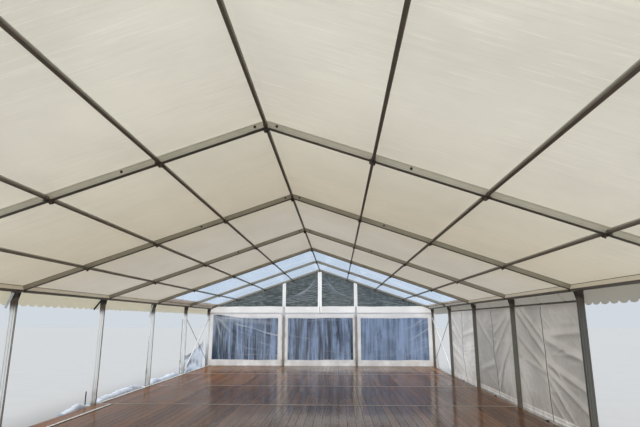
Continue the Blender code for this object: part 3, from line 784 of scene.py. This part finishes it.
# Folds of each curtain: a line's start and end, the fold's width and its depth. Places are shares, first
# from the leg to the seam and then from foot to head
CURTAIN_FOLDS = {
    (3, "near"): (
        (0.02, 0.8, 0.98, 0.76, 0.04, 0.006), (0.0, 0.58, 0.92, 0.72, 0.05, 0.009),
        (0.02, 0.36, 0.95, 0.52, 0.045, 0.01), (0.05, 0.2, 0.96, 0.44, 0.04, 0.009),
        (0.3, 0.02, 0.92, 0.36, 0.04, 0.011), (0.55, 0.02, 0.94, 0.22, 0.035, 0.008),
    ),
    (3, "far"): (
        (0.1, 0.97, 0.98, 0.6, 0.045, 0.011), (0.3, 0.98, 0.98, 0.72, 0.04, 0.008),
        (0.05, 0.74, 0.96, 0.46, 0.04, 0.01), (0.02, 0.56, 0.9, 0.44, 0.035, 0.006),
        (0.1, 0.38, 0.4, 0.18, 0.04, 0.006),
    ),
    (4, "near"): (
        (0.12, 0.97, 0.9, 0.56, 0.05, 0.009), (0.25, 0.96, 0.95, 0.74, 0.04, 0.007),
        (0.3, 0.62, 0.98, 0.22, 0.045, 0.009), (0.6, 0.46, 0.98, 0.12, 0.04, 0.007),
    ),
    (4, "far"): ((0.1, 0.9, 0.85, 0.62, 0.05, 0.005), (0.2, 0.3, 0.9, 0.4, 0.05, 0.005)),
    (5, "near"): (
        (0.02, 0.76, 0.95, 0.68, 0.04, 0.007), (0.05, 0.58, 0.95, 0.5, 0.04, 0.007),
        (0.05, 0.52, 0.9, 0.46, 0.03, 0.005), (0.3, 0.02, 0.92, 0.34, 0.04, 0.009),
    ),
    (5, "far"): (
        (0.1, 0.92, 0.92, 0.62, 0.04, 0.008), (0.1, 0.74, 0.9, 0.5, 0.04, 0.008),
        (0.1, 0.5, 0.88, 0.36, 0.04, 0.007), (0.15, 0.34, 0.85, 0.2, 0.04, 0.006),
    ),
}
# Where the two curtains of a bay meet: shares from foot to head, and shifts along Y from the bay's middle
SEAMS = {
    3: ((0.0, 0.35, 0.6, 0.85, 0.93, 1.0), (0.0, 0.07, 0.09, 0.12, 0.15, 0.09)),
    4: ((0.0, 0.2, 0.35, 0.5, 0.75, 0.9, 1.0), (-0.1, -0.06, -0.02, 0.11, 0.08, 0.12, 0.18)),
    5: ((0.0, 0.15, 0.3, 0.45, 0.75, 1.0), (-0.17, -0.08, 0.08, 0.13, 0.07, 0.04)),
}


def wall_plane(bay):
    """Where a bay's curtains hang when they are flat, just outside the middle of the wall."""
    low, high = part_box(f"side_wall_{bay}_near")
    return (low.x + high.x) / 2 + 0.002


def seam_y(bay, share):
    return bay_y(bay) + np.interp(share, *SEAMS[bay])


class Curtains(bpy.types.Operator):
    """Makes the curtain walls of the walled bays, with hems and seam straps."""

    bl_idname = "marquee.curtains"
    bl_label = "Curtain walls"

    def execute(self, context):
        for bay, word in CURTAIN_FOLDS:
            self.curtain(context.scene.marquee_sizes.sheet, bay, word)
        for bay in SEAMS:
            self.seam(bay)
        return {"FINISHED"}

    def surface(self, bay, word, u, v):
        """Points and depths of a curtain, at shares u from leg to seam and v from foot to head."""
        low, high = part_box(f"side_wall_{bay}_{word}")
        near = word == "near"
        leg = low.y if near else high.y
        y = leg + (seam_y(bay, v) + (-0.0005 if near else 0.0005) - leg) * u
        z = low.z + (high.z - low.z) * v
        hold = step(u, 0.0, 0.05) * (1 - step(v, 0.97, 1.0)) * (1 - step(u, 0.955, 1.0))
        folds = CURTAIN_FOLDS[bay, word]
        depth = np.zeros_like(u)
        for *line, width, deep in folds:
            depth += 1.5 * crease(u, v, line, 0.55 * width, deep)
        lean = sum(math.atan2(v1 - v0, u1 - u0) for u0, v0, u1, v1, _, _ in folds) / len(folds)
        seed = 300 + 10 * bay + near
        random = np.random.default_rng(seed + 70)
        for _ in range(44):
            u0, v0 = random.uniform(0.05, 0.9), random.uniform(0.05, 0.95)
            turn, long = random.normal(lean, 0.4), random.uniform(0.08, 0.3)
            line = (u0, v0, u0 + long * math.cos(turn), v0 + long * math.sin(turn))
            depth += crease(u, v, line, random.uniform(0.008, 0.018), random.uniform(0.0015, 0.0045))
        depth += 0.003 * ripples(u, v, seed + 5, 6, 3.0, 2.0)
        depth = np.clip(depth * hold, -0.011, 0.02)
        return np.stack([wall_plane(bay) - depth, y, z], -1), depth

    def curtain(self, thickness, bay, word):
        node = f"side_wall_{bay}_{word}"
        points, depth = self.surface(bay, word, *grid(shares(92), shares(128)))
        low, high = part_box(node)
        flat = (high.y - low.y + 0.08, high.z - low.z)
        # Painted shade in the hollows of the folds, lighter on their ridges
        fold_shade = np.clip(0.12 - depth / 0.01 * 0.5, 0, 0.65)
        obj = cloth(f"curtain_{bay}_{word}", points, flat, thickness, fold_shade)
        bands = []
        for number, (foot, head) in enumerate(((0.04, 0.062), (0.07, 0.086))):
            places = grid(np.linspace(0.01, 0.99, 70), np.linspace(foot, head, 4))
            points = self.surface(bay, word, *places)[0] - (0.0022, 0, 0)
            bands.append(cloth(f"band_{number}", points, (1.4, 0.045), 0.0016))
        hem = dressed(joined(f"curtain_hem_{bay}_{word}", bands), "border PVC")
        dressed(obj, "white PVC", [node])

    def seam(self, bay):
        """The dark strap that laces the two curtains together, with its foot plate."""
        low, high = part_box(f"side_wall_{bay}_near")
        half_width, v = grid((-0.009, 0.009), np.linspace(0.03, 0.985, 60))
        x = np.full_like(v, wall_plane(bay) - 0.0035)
        y = seam_y(bay, v) + 0.006 * np.sin(v * 24 + bay) + half_width
        points = np.stack([x, y, low.z + (high.z - low.z) * v], -1)
        strap = cloth("strap", points, (0.016, 2.0), 0.0025)
        place = (DECK_SIDE - 0.02, seam_y(bay, 0.04), DECK_TOP + 0.008)
        plate = rounded_box((0.034, 0.09, 0.014), place, 0.004)
        dressed(joined(f"curtain_seam_{bay}", [strap, plate]), "black webbing")


# Painted glints on the gable film, along its folds: a line's start and end, its width and its strength
GLINTS = {
    "left": (
        (-4.28, 2.06, -3.69, 1.53, 0.06, 0.5), (-4.27, 2.02, -3.99, 1.28, 0.036, 0.55),
        (-4.29, 1.9, -4.16, 1.0, 0.03, 0.3), (-4.2, 2.04, -3.2, 1.88, 0.04, 0.45),
        (-3.9, 1.95, -1.7, 1.955, 0.018, 0.4), (-3.35, 1.72, -1.7, 1.235, 0.026, 0.95),
        (-4.1, 1.92, -1.8, 1.72, 0.11, 0.3), (-2.3, 0.95, -1.7, 0.72, 0.03, 0.35),
        (-3.25, 0.886, -1.73, 0.45, 0.018, 0.4), (-3.6, 0.542, -1.68, 0.475, 0.018, 0.4),
        (-3.0, 0.76, -1.75, 0.63, 0.016, 0.3),
    ),
    "middle": (
        (-1.25, 1.3, -0.2, 1.12, 0.022, 0.3), (-0.6, 1.82, 0.9, 1.88, 0.018, 0.22),
        (0.3, 0.62, 1.28, 0.5, 0.016, 0.22),
    ),
    "right": (
        (4.28, 1.97, 3.8, 1.7, 0.03, 0.55), (4.28, 1.78, 3.4, 1.52, 0.03, 0.25),
        (4.27, 1.51, 3.65, 1.14, 0.024, 0.9), (4.27, 1.15, 3.1, 0.72, 0.022, 0.35),
        (4.25, 0.84, 3.05, 0.36, 0.02, 0.55), (3.2, 0.55, 1.9, 0.42, 0.018, 0.25),
    ),
    "top": (
        *(
            (side * 0.08, 3.62 - 0.115 * n, side * (0.62 + 0.15 * n), 2.98 - 0.062 * n, 0.014, strength)
            for side, strength, count in ((-1, 0.55, 9), (1, 0.3, 5)) for n in range(count)
        ),
        (-1.5, 2.8, -3.0, 2.5, 0.018, 0.25), (1.5, 2.86, 3.1, 2.52, 0.018, 0.28),
    ),
}


class ClearGable(bpy.types.Operator):
    """Makes the clear sheets of the far gable, with their white borders."""

    bl_idname = "marquee.clear_gable"
    bl_label = "Clear gable"

    def execute(self, context):
        thickness = context.scene.marquee_sizes.sheet
        for word, (first, last) in PANES.items():
            self.panel(thickness, word, first, last)
        self.triangle(thickness)
        return {"FINISHED"}

    def lines(self, edges, spacing):
        """Grid lines that fall on every edge, with even steps between."""
        places = [edges[0]]
        for low, high in zip(edges, edges[1:]):
            count = max(1, round((high - low) / spacing))
            places += list(np.linspace(low, high, count + 1)[1:])
        return np.array(places)

    def sheet(self, word, across, height, nearer=0.0):
        """Points of a sheet that stands out from its plane in soft folds."""
        seed = {"left": 501, "middle": 502, "right": 503, "top": 504}[word]
        out = 0.0016 * ripples(across, height, seed, 10, 4.0, 2.2)
        if word == "left":
            for foot in (-3.9, -3.3, -2.6, -2.0):
                out = out + crease(across, height, (-4.45, 2.0, foot, 1.2), 0.05, 0.004)
        return np.stack([across, GABLE_SHEET_Y + out - nearer, height], -1)[:, ::-1]

    def pulled(self, word, x, z, top):
        """Heights of a sheet's points: edges waver, and the left pane is drawn up into its corner."""
        above = np.clip((z - PANE_HEAD) / (top - PANE_HEAD), 0, 1)
        near_head = step(z, PANE_HEAD - 0.5, PANE_HEAD) * (1 - above)
        near_foot = (1 - step(z, PANE_FOOT, PANE_FOOT + 0.5)) * step(z, 0.02, PANE_FOOT)
        shift = (0.009 * np.sin(2.3 * x + len(word)) + 0.005 * np.sin(5.7 * x)) * (near_head + near_foot)
        if word == "left":
            shift = shift + 0.13 * (1 - step(x, -4.3, -3.05)) * step(z, 1.0, PANE_HEAD) * (1 - above)
        return z + shift

    def glints(self, word, points):
        """How strongly each point takes a painted glint, along soft lines that waver."""
        x, z = points[..., 0], points[..., 2]
        warp_x = 0.03 * ripples(x, z, 900, 5, 2.5, 3.5)
        warp_z = 0.026 * ripples(x, z, 901, 6, 3.0, 3.0)
        total = np.zeros_like(x)
        for *line, width, strength in GLINTS[word]:
            total += strength * np.clip(crease(x + warp_x, z + warp_z, line, width, 1.0), 0, 1)
        fade = np.clip(0.75 + 0.35 * ripples(x, z, 903, 8, 5.0, 5.0), 0.25, 1.15)
        return np.clip(total * fade, 0, 0.9)

    def panel(self, thickness, word, first, last):
        node = f"gable_panel_{word}"
        low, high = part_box(node)
        x = self.lines([low.x, first - PANE_WELD, first, last, last + PANE_WELD, high.x], 0.022)
        heights = [low.z, PANE_FOOT - PANE_WELD, PANE_FOOT, PANE_HEAD, PANE_HEAD + PANE_WELD, high.z]
        points = self.sheet(word, *grid(x, self.lines(heights, 0.022)))
        middle = (points[:-1, :-1] + points[1:, 1:]) / 2
        from_middle_x = np.abs(middle[..., 0] - (first + last) / 2) - (last - first) / 2
        from_middle_z = np.abs(middle[..., 2] - (PANE_FOOT + PANE_HEAD) / 2) - (PANE_HEAD - PANE_FOOT) / 2
        past_edge = np.maximum(from_middle_x, from_middle_z)
        points[..., 2] = self.pulled(word, points[..., 0], points[..., 2], high.z)
        flat = (high.x - low.x, high.z - low.z)
        glints = self.glints(word, points)
        film = cloth(f"gable_film_{word}", points, flat, thickness, glints, past_edge < PANE_WELD)
        pane = (last - first, PANE_HEAD - PANE_FOOT)
        dressed(film, "clear gable film", [node])
        from_post = np.minimum(points[..., 0] - low.x, high.x - points[..., 0])
        # Painted shade of gathers in the border near the posts
        gather_shade = 0.22 + 0.4 * ripples(points[..., 0], points[..., 2], 905, 9, 12, 15)
        tuck_shade = np.clip((1 - step(from_post, 0.02, 0.15)) * gather_shade, 0, 0.6)
        nearer = points - (0, 0.0014, 0)
        border = cloth(f"gable_border_{word}", nearer, flat, 0.001, tuck_shade, past_edge > 0)
        area = flat[0] * flat[1] - pane[0] * pane[1]
        dressed(border, "border PVC")

    def triangle(self, thickness):
        """The film from the header to the ridge, and the white band along its foot."""
        low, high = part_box("gable_triangle")
        x = self.lines([low.x, 0.0, high.x], 0.03)
        top = slope_z(x, 0.015)
        across, share = grid(x, self.lines([0.0, 1.0], 0.018))
        points = self.sheet("top", across, low.z + (top[:, None] - low.z) * share)
        flat = (high.x - low.x, high.z - low.z)
        area = float(np.trapz(top - low.z, x))
        film = cloth("gable_film_top", points, flat, thickness, self.glints("top", points))
        across, share = grid(x, shares(9))
        edge = HEADER_HEAD + 0.006 * np.sin(2.1 * across) + 0.004 * np.sin(5.3 * across)
        height = low.z + (np.minimum(top[:, None], edge) - low.z) * share
        band = cloth("gable_band", self.sheet("top", across, height, 0.0014), (9.0, 0.25), 0.001)
        dressed(band, "header PVC")
        dressed(film, "clear gable film", ["gable_triangle"])


class Deck(bpy.types.Operator):
    """Lays the deck boards bay by bay, with their bearers, joint strips and edge trims."""

    bl_idname = "marquee.deck"
    bl_label = "Deck"

    def execute(self, context):
        sizes = context.scene.marquee_sizes
        pitch, count, side = board_rows(sizes)
        low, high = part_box("deck")
        thickness, half_joint, bearers, bearer_pitch = 0.028, 0.004, 30, 0.6
        for number in BAY_NUMBERS:
            near = low.y if number == BAY_NUMBERS[0] else frame_y(number) + half_joint
            far = high.y if number == BAY_NUMBERS[-1] else frame_y(number + 1) - half_joint
            place = (-side + sizes.board_width / 2, (near + far) / 2, DECK_TOP - thickness / 2)
            board = rounded_box((sizes.board_width, far - near, thickness), place, 0.0025, 1)
            obj = copies(f"deck_boards_{number}", board, [moved(n * pitch, 0, 0) for n in range(count)])
            dressed(obj, "wet boards", ["deck"] if number == BAY_NUMBERS[0] else ())
        bearer = rounded_box((2 * DECK_SIDE, 0.045, 0.07), (0, 0, 0.035), 0.002, 1)
        places = [moved(0, frame_y(1) + (n + 0.5) * bearer_pitch, 0) for n in range(bearers)]
        dressed(copies("deck_bearers", bearer, places), "bearer timber")
        strip = rounded_box((2 * side, sizes.strip, 0.003), (0, 0, DECK_TOP + 0.0016), 0.001, 1)
        places = [moved(0, frame_y(n), 0) for n in FRAME_NUMBERS[1:-1]]
        dressed(copies("deck_joint_strips", strip, places), "joint strip")
        # The dark strips beside the trims are painted shade: dark pieces where shadow falls at the trims'
        # inner edge
        for name, finish, aside, width, height, lift, bevel in (
            ("deck_edge_trims", "metal trim", 0.0, 0.055, 0.006, 0.0032, 0.002),
            ("deck_edge_seals", "black webbing", 0.044, 0.03, 0.004, 0.0022, 0.001),
        ):
            runs = [
                rounded_box((width, long, height), (x + aside, y, DECK_TOP + lift), bevel, 1)
                for x, y, long in ((-4.1, -4.53, 8.94), (-4.405, 4.5, 8.9))
            ]
            dressed(joined(name, runs), finish)
        return {"FINISHED"}


class RolledWalls(bpy.types.Operator):
    """Makes the walls that lie rolled up along the left edge of the deck."""

    bl_idname = "marquee.rolled_walls"
    bl_label = "Rolled walls"

    def execute(self, context):
        for number in (3, 4, 5):
            self.roll(number)
        return {"FINISHED"}

    def roll(self, number):
        low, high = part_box(f"rolled_wall_{number}")
        length = high.y - low.y
        turns, steps, spacing, thickness = 2.2, 32, 0.025, 0.003
        y = np.linspace(low.y + 0.004, high.y - 0.004, max(20, int(length / spacing)))
        s, along = grid(shares(int(turns * steps) + 1), y)
        angle = -math.pi / 2 + 2 * math.pi * turns * s
        puff = 0.95 + 0.13 * ripples(along, s, 600 + number, 7, 3.0, 1.5)
        pinch = 0.88 + 0.18 * ripples(along, s * 0.0, 640 + number, 5, 2.6, 0.1)
        fold = 0.07 * ripples(along, angle, 660 + number, 12, 20.0, 1.6) * step(s, 0.1, 0.4)
        ends = 0.5 + 0.5 * step(np.minimum(along - low.y, high.y - along), 0.0, 0.45)
        half_width = (0.03 + 0.088 * s) * np.clip(puff + fold, 0.74, 1.0)
        half_height = (0.022 + 0.104 * s) * np.clip(puff * pinch + fold, 0.56, 1.0) * ends
        z = half_height * np.sin(angle)
        x = (low.x + high.x) / 2 + half_width * np.cos(angle)
        points = np.stack([x, along, z - z.min(0) + 0.002], -1)
        flat = (float(path_length(points.mean(1, keepdims=True))[0]), length)
        # Painted shade in the hollows of the roll's folds
        obj = cloth(f"rolled_sheet_{number}", points, flat, thickness, np.clip(-fold * 6, 0, 0.6))
        dressed(obj, "laid PVC", [f"rolled_wall_{number}"])


class HeapedWall(bpy.types.Operator):
    """Makes the wall that hangs bunched in the braced bay."""

    bl_idname = "marquee.heaped_wall"
    bl_label = "Heaped wall"

    def execute(self, context):
        low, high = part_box("heaped_wall")
        edge, flat, thickness = 0.004, (2.9, 0.9), 0.003
        u, v = grid(shares(110), shares(72))
        top = np.interp(u, (0, 0.2, 0.4, 0.7, 1.0), (0.76, 0.66, 0.63, 0.8, 1.03))
        top = top + 0.03 * ripples(u, v * 0.0, 730, 6, 20.0, 0.1) * 0.5
        pleat = ripples(u, v * 0.6, 700, 12, 34.0, 4.0)
        roll = np.sin(v * 11 + 2.2 * ripples(u, v, 710, 6, 5.0, 2.0))
        x = (low.x + high.x) / 2 + 0.022 * pleat * (0.4 + 0.6 * v) + 0.02 * roll * (1 - v) + 0.01 * roll
        sway = 0.02 * ripples(u, v, 720, 6, 7.0, 6.0) * v * (1 - v)
        y = low.y + 0.02 + (high.y - low.y - 0.04) * u + sway
        z = np.clip(edge + (top - edge) * v, edge, 1.048)
        points = np.stack([np.clip(x, low.x + edge, high.x - edge), y, z], -1)
        # Painted shade in the hollows of the heap's folds
        fold_shade = np.clip(-0.02 - (pleat + roll) * 0.46, 0, 0.95)
        obj = cloth("heaped_sheet", points, flat, thickness, fold_shade)
        dressed(obj, "heaped PVC", ["heaped_wall"])
        return {"FINISHED"}


class TiedWall(bpy.types.Operator):
    """Makes the wall that is gathered beside the right corner leg."""

    bl_idname = "marquee.tied_wall"
    bl_label = "Tied wall"

    def execute(self, context):
        low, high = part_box("tied_wall")
        pleats, edge = 8, 0.003
        u, v = grid(shares(pleats * 12 + 1), shares(70))
        z = low.z + edge + (high.z - low.z - 2 * edge) * v
        outer = np.interp(z, (low.z, 2.0, high.z), (high.x, 4.55, 4.55)) - edge
        inner = low.x + edge
        slack = 0.78 + 0.22 * ripples(u, v, 800, 7, 9.0, 4.0)
        turn = 2 * math.pi * pleats * u + 0.5 * ripples(u, v, 801, 5, 4.0, 5.0)
        share = 0.5 + 0.5 * np.sin(turn) * np.clip(slack, 0.4, 1.0)
        depth = (high.y - low.y - 0.012) * (0.72 + 0.28 * (1 - step(v, 0.1, 0.9)))
        y = high.y - 0.005 - depth * np.clip(u + 0.012 * ripples(u, v, 802, 5, 9.0, 6.0), 0, 1)
        points = np.stack([inner + (outer - inner) * share, y, z], -1)
        flat = (high.z - low.z, float(path_length(points).mean()))
        # Painted shade where the pleats fold back towards the outer side
        obj = cloth("tied_sheet", points, flat, 0.0015, np.clip(0.5 * share - 0.1, 0, 0.5))
        dressed(obj, "white PVC", ["tied_wall"])
        return {"FINISHED"}


class Fittings(bpy.types.Operator):
    """Adds the brackets, bolts, straps and ties at the frame's joints and legs."""

    bl_idname = "marquee.fittings"
    bl_label = "Fittings"

    def execute(self, context):
        slope = HALF_SPAN / math.cos(PITCH)
        joints = [
            slope_matrix(side, share * slope, frame_y(number), 0)
            for number in FRAME_NUMBERS for side in SIDES for share in PURLIN_SHARES
        ]
        self.saddles(joints)
        self.bolts(joints)
        self.straps()
        return {"FINISHED"}

    def saddles(self, joints):
        """Dark plates under the rafters that carry the purlins' cleats, and castings under the ridge."""
        saddle = rounded_box((0.066, 0.156, 0.005), (0, 0, -RAFTER_HALF_DEPTH - 0.0035), 0.0015)
        dressed(copies("purlin_saddles", saddle, joints), "dark bracket")
        knuckle = rounded_box((0.052, 0.064, 0.04), (0, 0, -0.018), 0.008)
        places = [moved(0, frame_y(n), slope_z(0, -RAFTER_HALF_DEPTH)) for n in FRAME_NUMBERS]
        dressed(copies("ridge_knuckles", knuckle, places), "blackened casting")

    def bolts(self, joints):
        """Bolts up into the rafters at the purlins, and through rafters and legs at the ridge and eaves."""
        down, front, back = (Matrix.Rotation(turn * math.pi / 2, 4, "X") for turn in (2, 1, -1))
        under = -RAFTER_HALF_DEPTH - 0.006
        places = [base @ moved(0, y, under) @ down for base in joints for y in (-0.05, 0.05)]
        for number in FRAME_NUMBERS:
            for side in SIDES:
                through = [
                    (slope_matrix(side, along, frame_y(number), -0.004), face)
                    for along, face in ((0.125, RAFTER_FACE), (1.585, 0.024))
                ]
                for dx, dz in ((0.02, -0.02), (-0.02, -0.02), (0.0, -0.075), (0.0, -0.12)):
                    place = moved(side * (HALF_SPAN + dx), frame_y(number), EAVE_HEIGHT + dz)
                    through.append((place, RAFTER_FACE))
                for base, face in through:
                    places += [base @ moved(0, -face, 0) @ front, base @ moved(0, face, 0) @ back]
        bolts = copies("frame_bolts", hex_bolt(0.009, 0.012), places)
        dressed(bolts, "blackened casting")
        places = [base @ moved(0, 0, under) @ down for base in joints]
        bolts = copies("saddle_bolts", hex_bolt(0.012, 0.03), places)
        dressed(bolts, "dark bracket")

    def band(self, start, end, width, thickness):
        """A straight length of webbing between two points, flat to the side."""
        start, end = Vector(start), Vector(end)
        band = rounded_box((thickness, width, (end - start).length), (0, 0, 0), thickness * 0.3, 1)
        turn = (end - start).to_track_quat("Z", "X").to_matrix().to_4x4()
        if abs((turn @ Vector((1, 0, 0))).x) < 0.7:
            turn = turn @ Matrix.Rotation(math.pi / 2, 4, "Z")
        band.data.transform(moved(*(start + end) / 2) @ turn)
        return band

    def straps(self):
        """Dark straps down the outer side of the left legs, and short ties at their heads."""
        dark = [
            self.band((-4.575, 3.0, 0.014), (-4.556, 3.0, 1.42), 0.03, 0.004),
            self.band((-4.6, 6.0, 0.014), (-4.6, 6.0, 1.88), 0.03, 0.004),
            self.band((-4.545, -0.3, 2.06), (-4.5, -0.045, 2.3), 0.042, 0.003),
            rounded_box((0.016, 0.042, 0.11), (-4.569, 3.0, 0.45), 0.004),
            rounded_box((0.016, 0.042, 0.11), (-4.6, 6.0, 0.48), 0.004),
            rounded_box((0.02, 0.02, 0.35), (-4.655, -0.055, 0.176), 0.004),
        ]
        dressed(joined("leg_straps", dark), "black webbing")
        light = [
            self.band((-4.545, -3.135, 2.02), (-4.5, -3.05, 2.27), 0.042, 0.003),
            self.band((-4.545, 2.87, 1.92), (-4.5, 2.95, 2.27), 0.036, 0.003),
        ]
        dressed(joined("valance_ties", light), "laid PVC")


class Stage(bpy.types.Operator):
    """Sets the floor, the soft light and the camera."""

    bl_idname = "marquee.stage"
    bl_label = "Stage"

    def execute(self, context):
        scene = context.scene
        deselect()
        bpy.ops.mesh.primitive_plane_add(size=240, location=(0, 0, -0.002))
        floor = context.active_object
        floor.name = "studio_floor"
        tree = Tree("studio floor")
        base = tree.mix(tree.noise(1.5, 3), (0.3, 0.3, 0.3), (0.33, 0.33, 0.33))
        shader = tree.node("BsdfPrincipled", {}, {"Base Color": base, "Roughness": 0.9})
        floor.data.materials.append(tree.finish(shader))
        scene.world = bpy.data.worlds.new("studio")
        scene.world.use_nodes = True
        background = scene.world.node_tree.nodes["Background"]
        background.inputs["Color"].default_value = (0.86, 0.93, 1.0, 1)
        background.inputs["Strength"].default_value = 0.74
        scene.view_settings.view_transform = "Standard"
        self.lamp("overhead", 4.1, 60, (8, 3, 0))
        self.lamp("open end", 1.1, 30, (80, 0, -14))
        self.camera(scene)
        return {"FINISHED"}

    def lamp(self, name, energy, spread, turn):
        """A sun with its spread and its turn about each axis in degrees."""
        light = bpy.data.lights.new(name, "SUN")
        light.energy = energy
        light.angle = math.radians(spread)
        linked(name, light).rotation_euler = [math.radians(angle) for angle in turn]

    def camera(self, scene):
        """The place, aim and lens that fit the reference view."""
        data = bpy.data.cameras.new("camera")
        data.sensor_width = 36
        focal_pixels, wide_pixels = 481.0, 640
        data.lens = focal_pixels / wide_pixels * data.sensor_width
        data.clip_start = 0.05
        data.clip_end = 400
        forward = Vector((-0.03646476, 0.97538744, 0.21746187))
        up = Vector((0.00751368, -0.21733284, 0.97606863))
        turn = Matrix((forward.cross(up), up, -forward)).transposed().to_4x4()
        scene.camera = linked("camera", data)
        scene.camera.matrix_world = moved(0.7446, -10.7292, 1.8309) @ turn


OPERATORS = (
    Stage, Finish, RoofCovers, Valances, Curtains, ClearGable,
    Deck, RolledWalls, HeapedWall, TiedWall, Fittings,
)


class MarqueePanel(bpy.types.Panel):
    """Lists the steps that dress the marquee."""

    bl_idname = "VIEW3D_PT_marquee"
    bl_label = "Marquee"
    bl_space_type = "VIEW_3D"
    bl_region_type = "UI"
    bl_category = "Marquee"

    def draw(self, context):
        for group in (context.scene.marquee_sizes, context.scene.marquee_colours):
            for name in group.bl_rna.properties.keys():
                if name not in ("rna_type", "name"):
                    self.layout.prop(group, name)
        for operator in OPERATORS:
            self.layout.operator(operator.bl_idname)


CLASSES = (MarqueeSizes, MarqueeColours, *OPERATORS, MarqueePanel)


def register():
    for made in CLASSES:
        bpy.utils.register_class(made)
    bpy.types.Scene.marquee_sizes = PointerProperty(type=MarqueeSizes)
    bpy.types.Scene.marquee_colours = PointerProperty(type=MarqueeColours)


def unregister():
    del bpy.types.Scene.marquee_colours
    del bpy.types.Scene.marquee_sizes
    for made in reversed(CLASSES):
        bpy.utils.unregister_class(made)


def main():
    register()
    for operator in OPERATORS:
        group, name = operator.bl_idname.split(".")
        getattr(getattr(bpy.ops, group), name)()
    deselect()


if __name__ == "__main__":
    main()
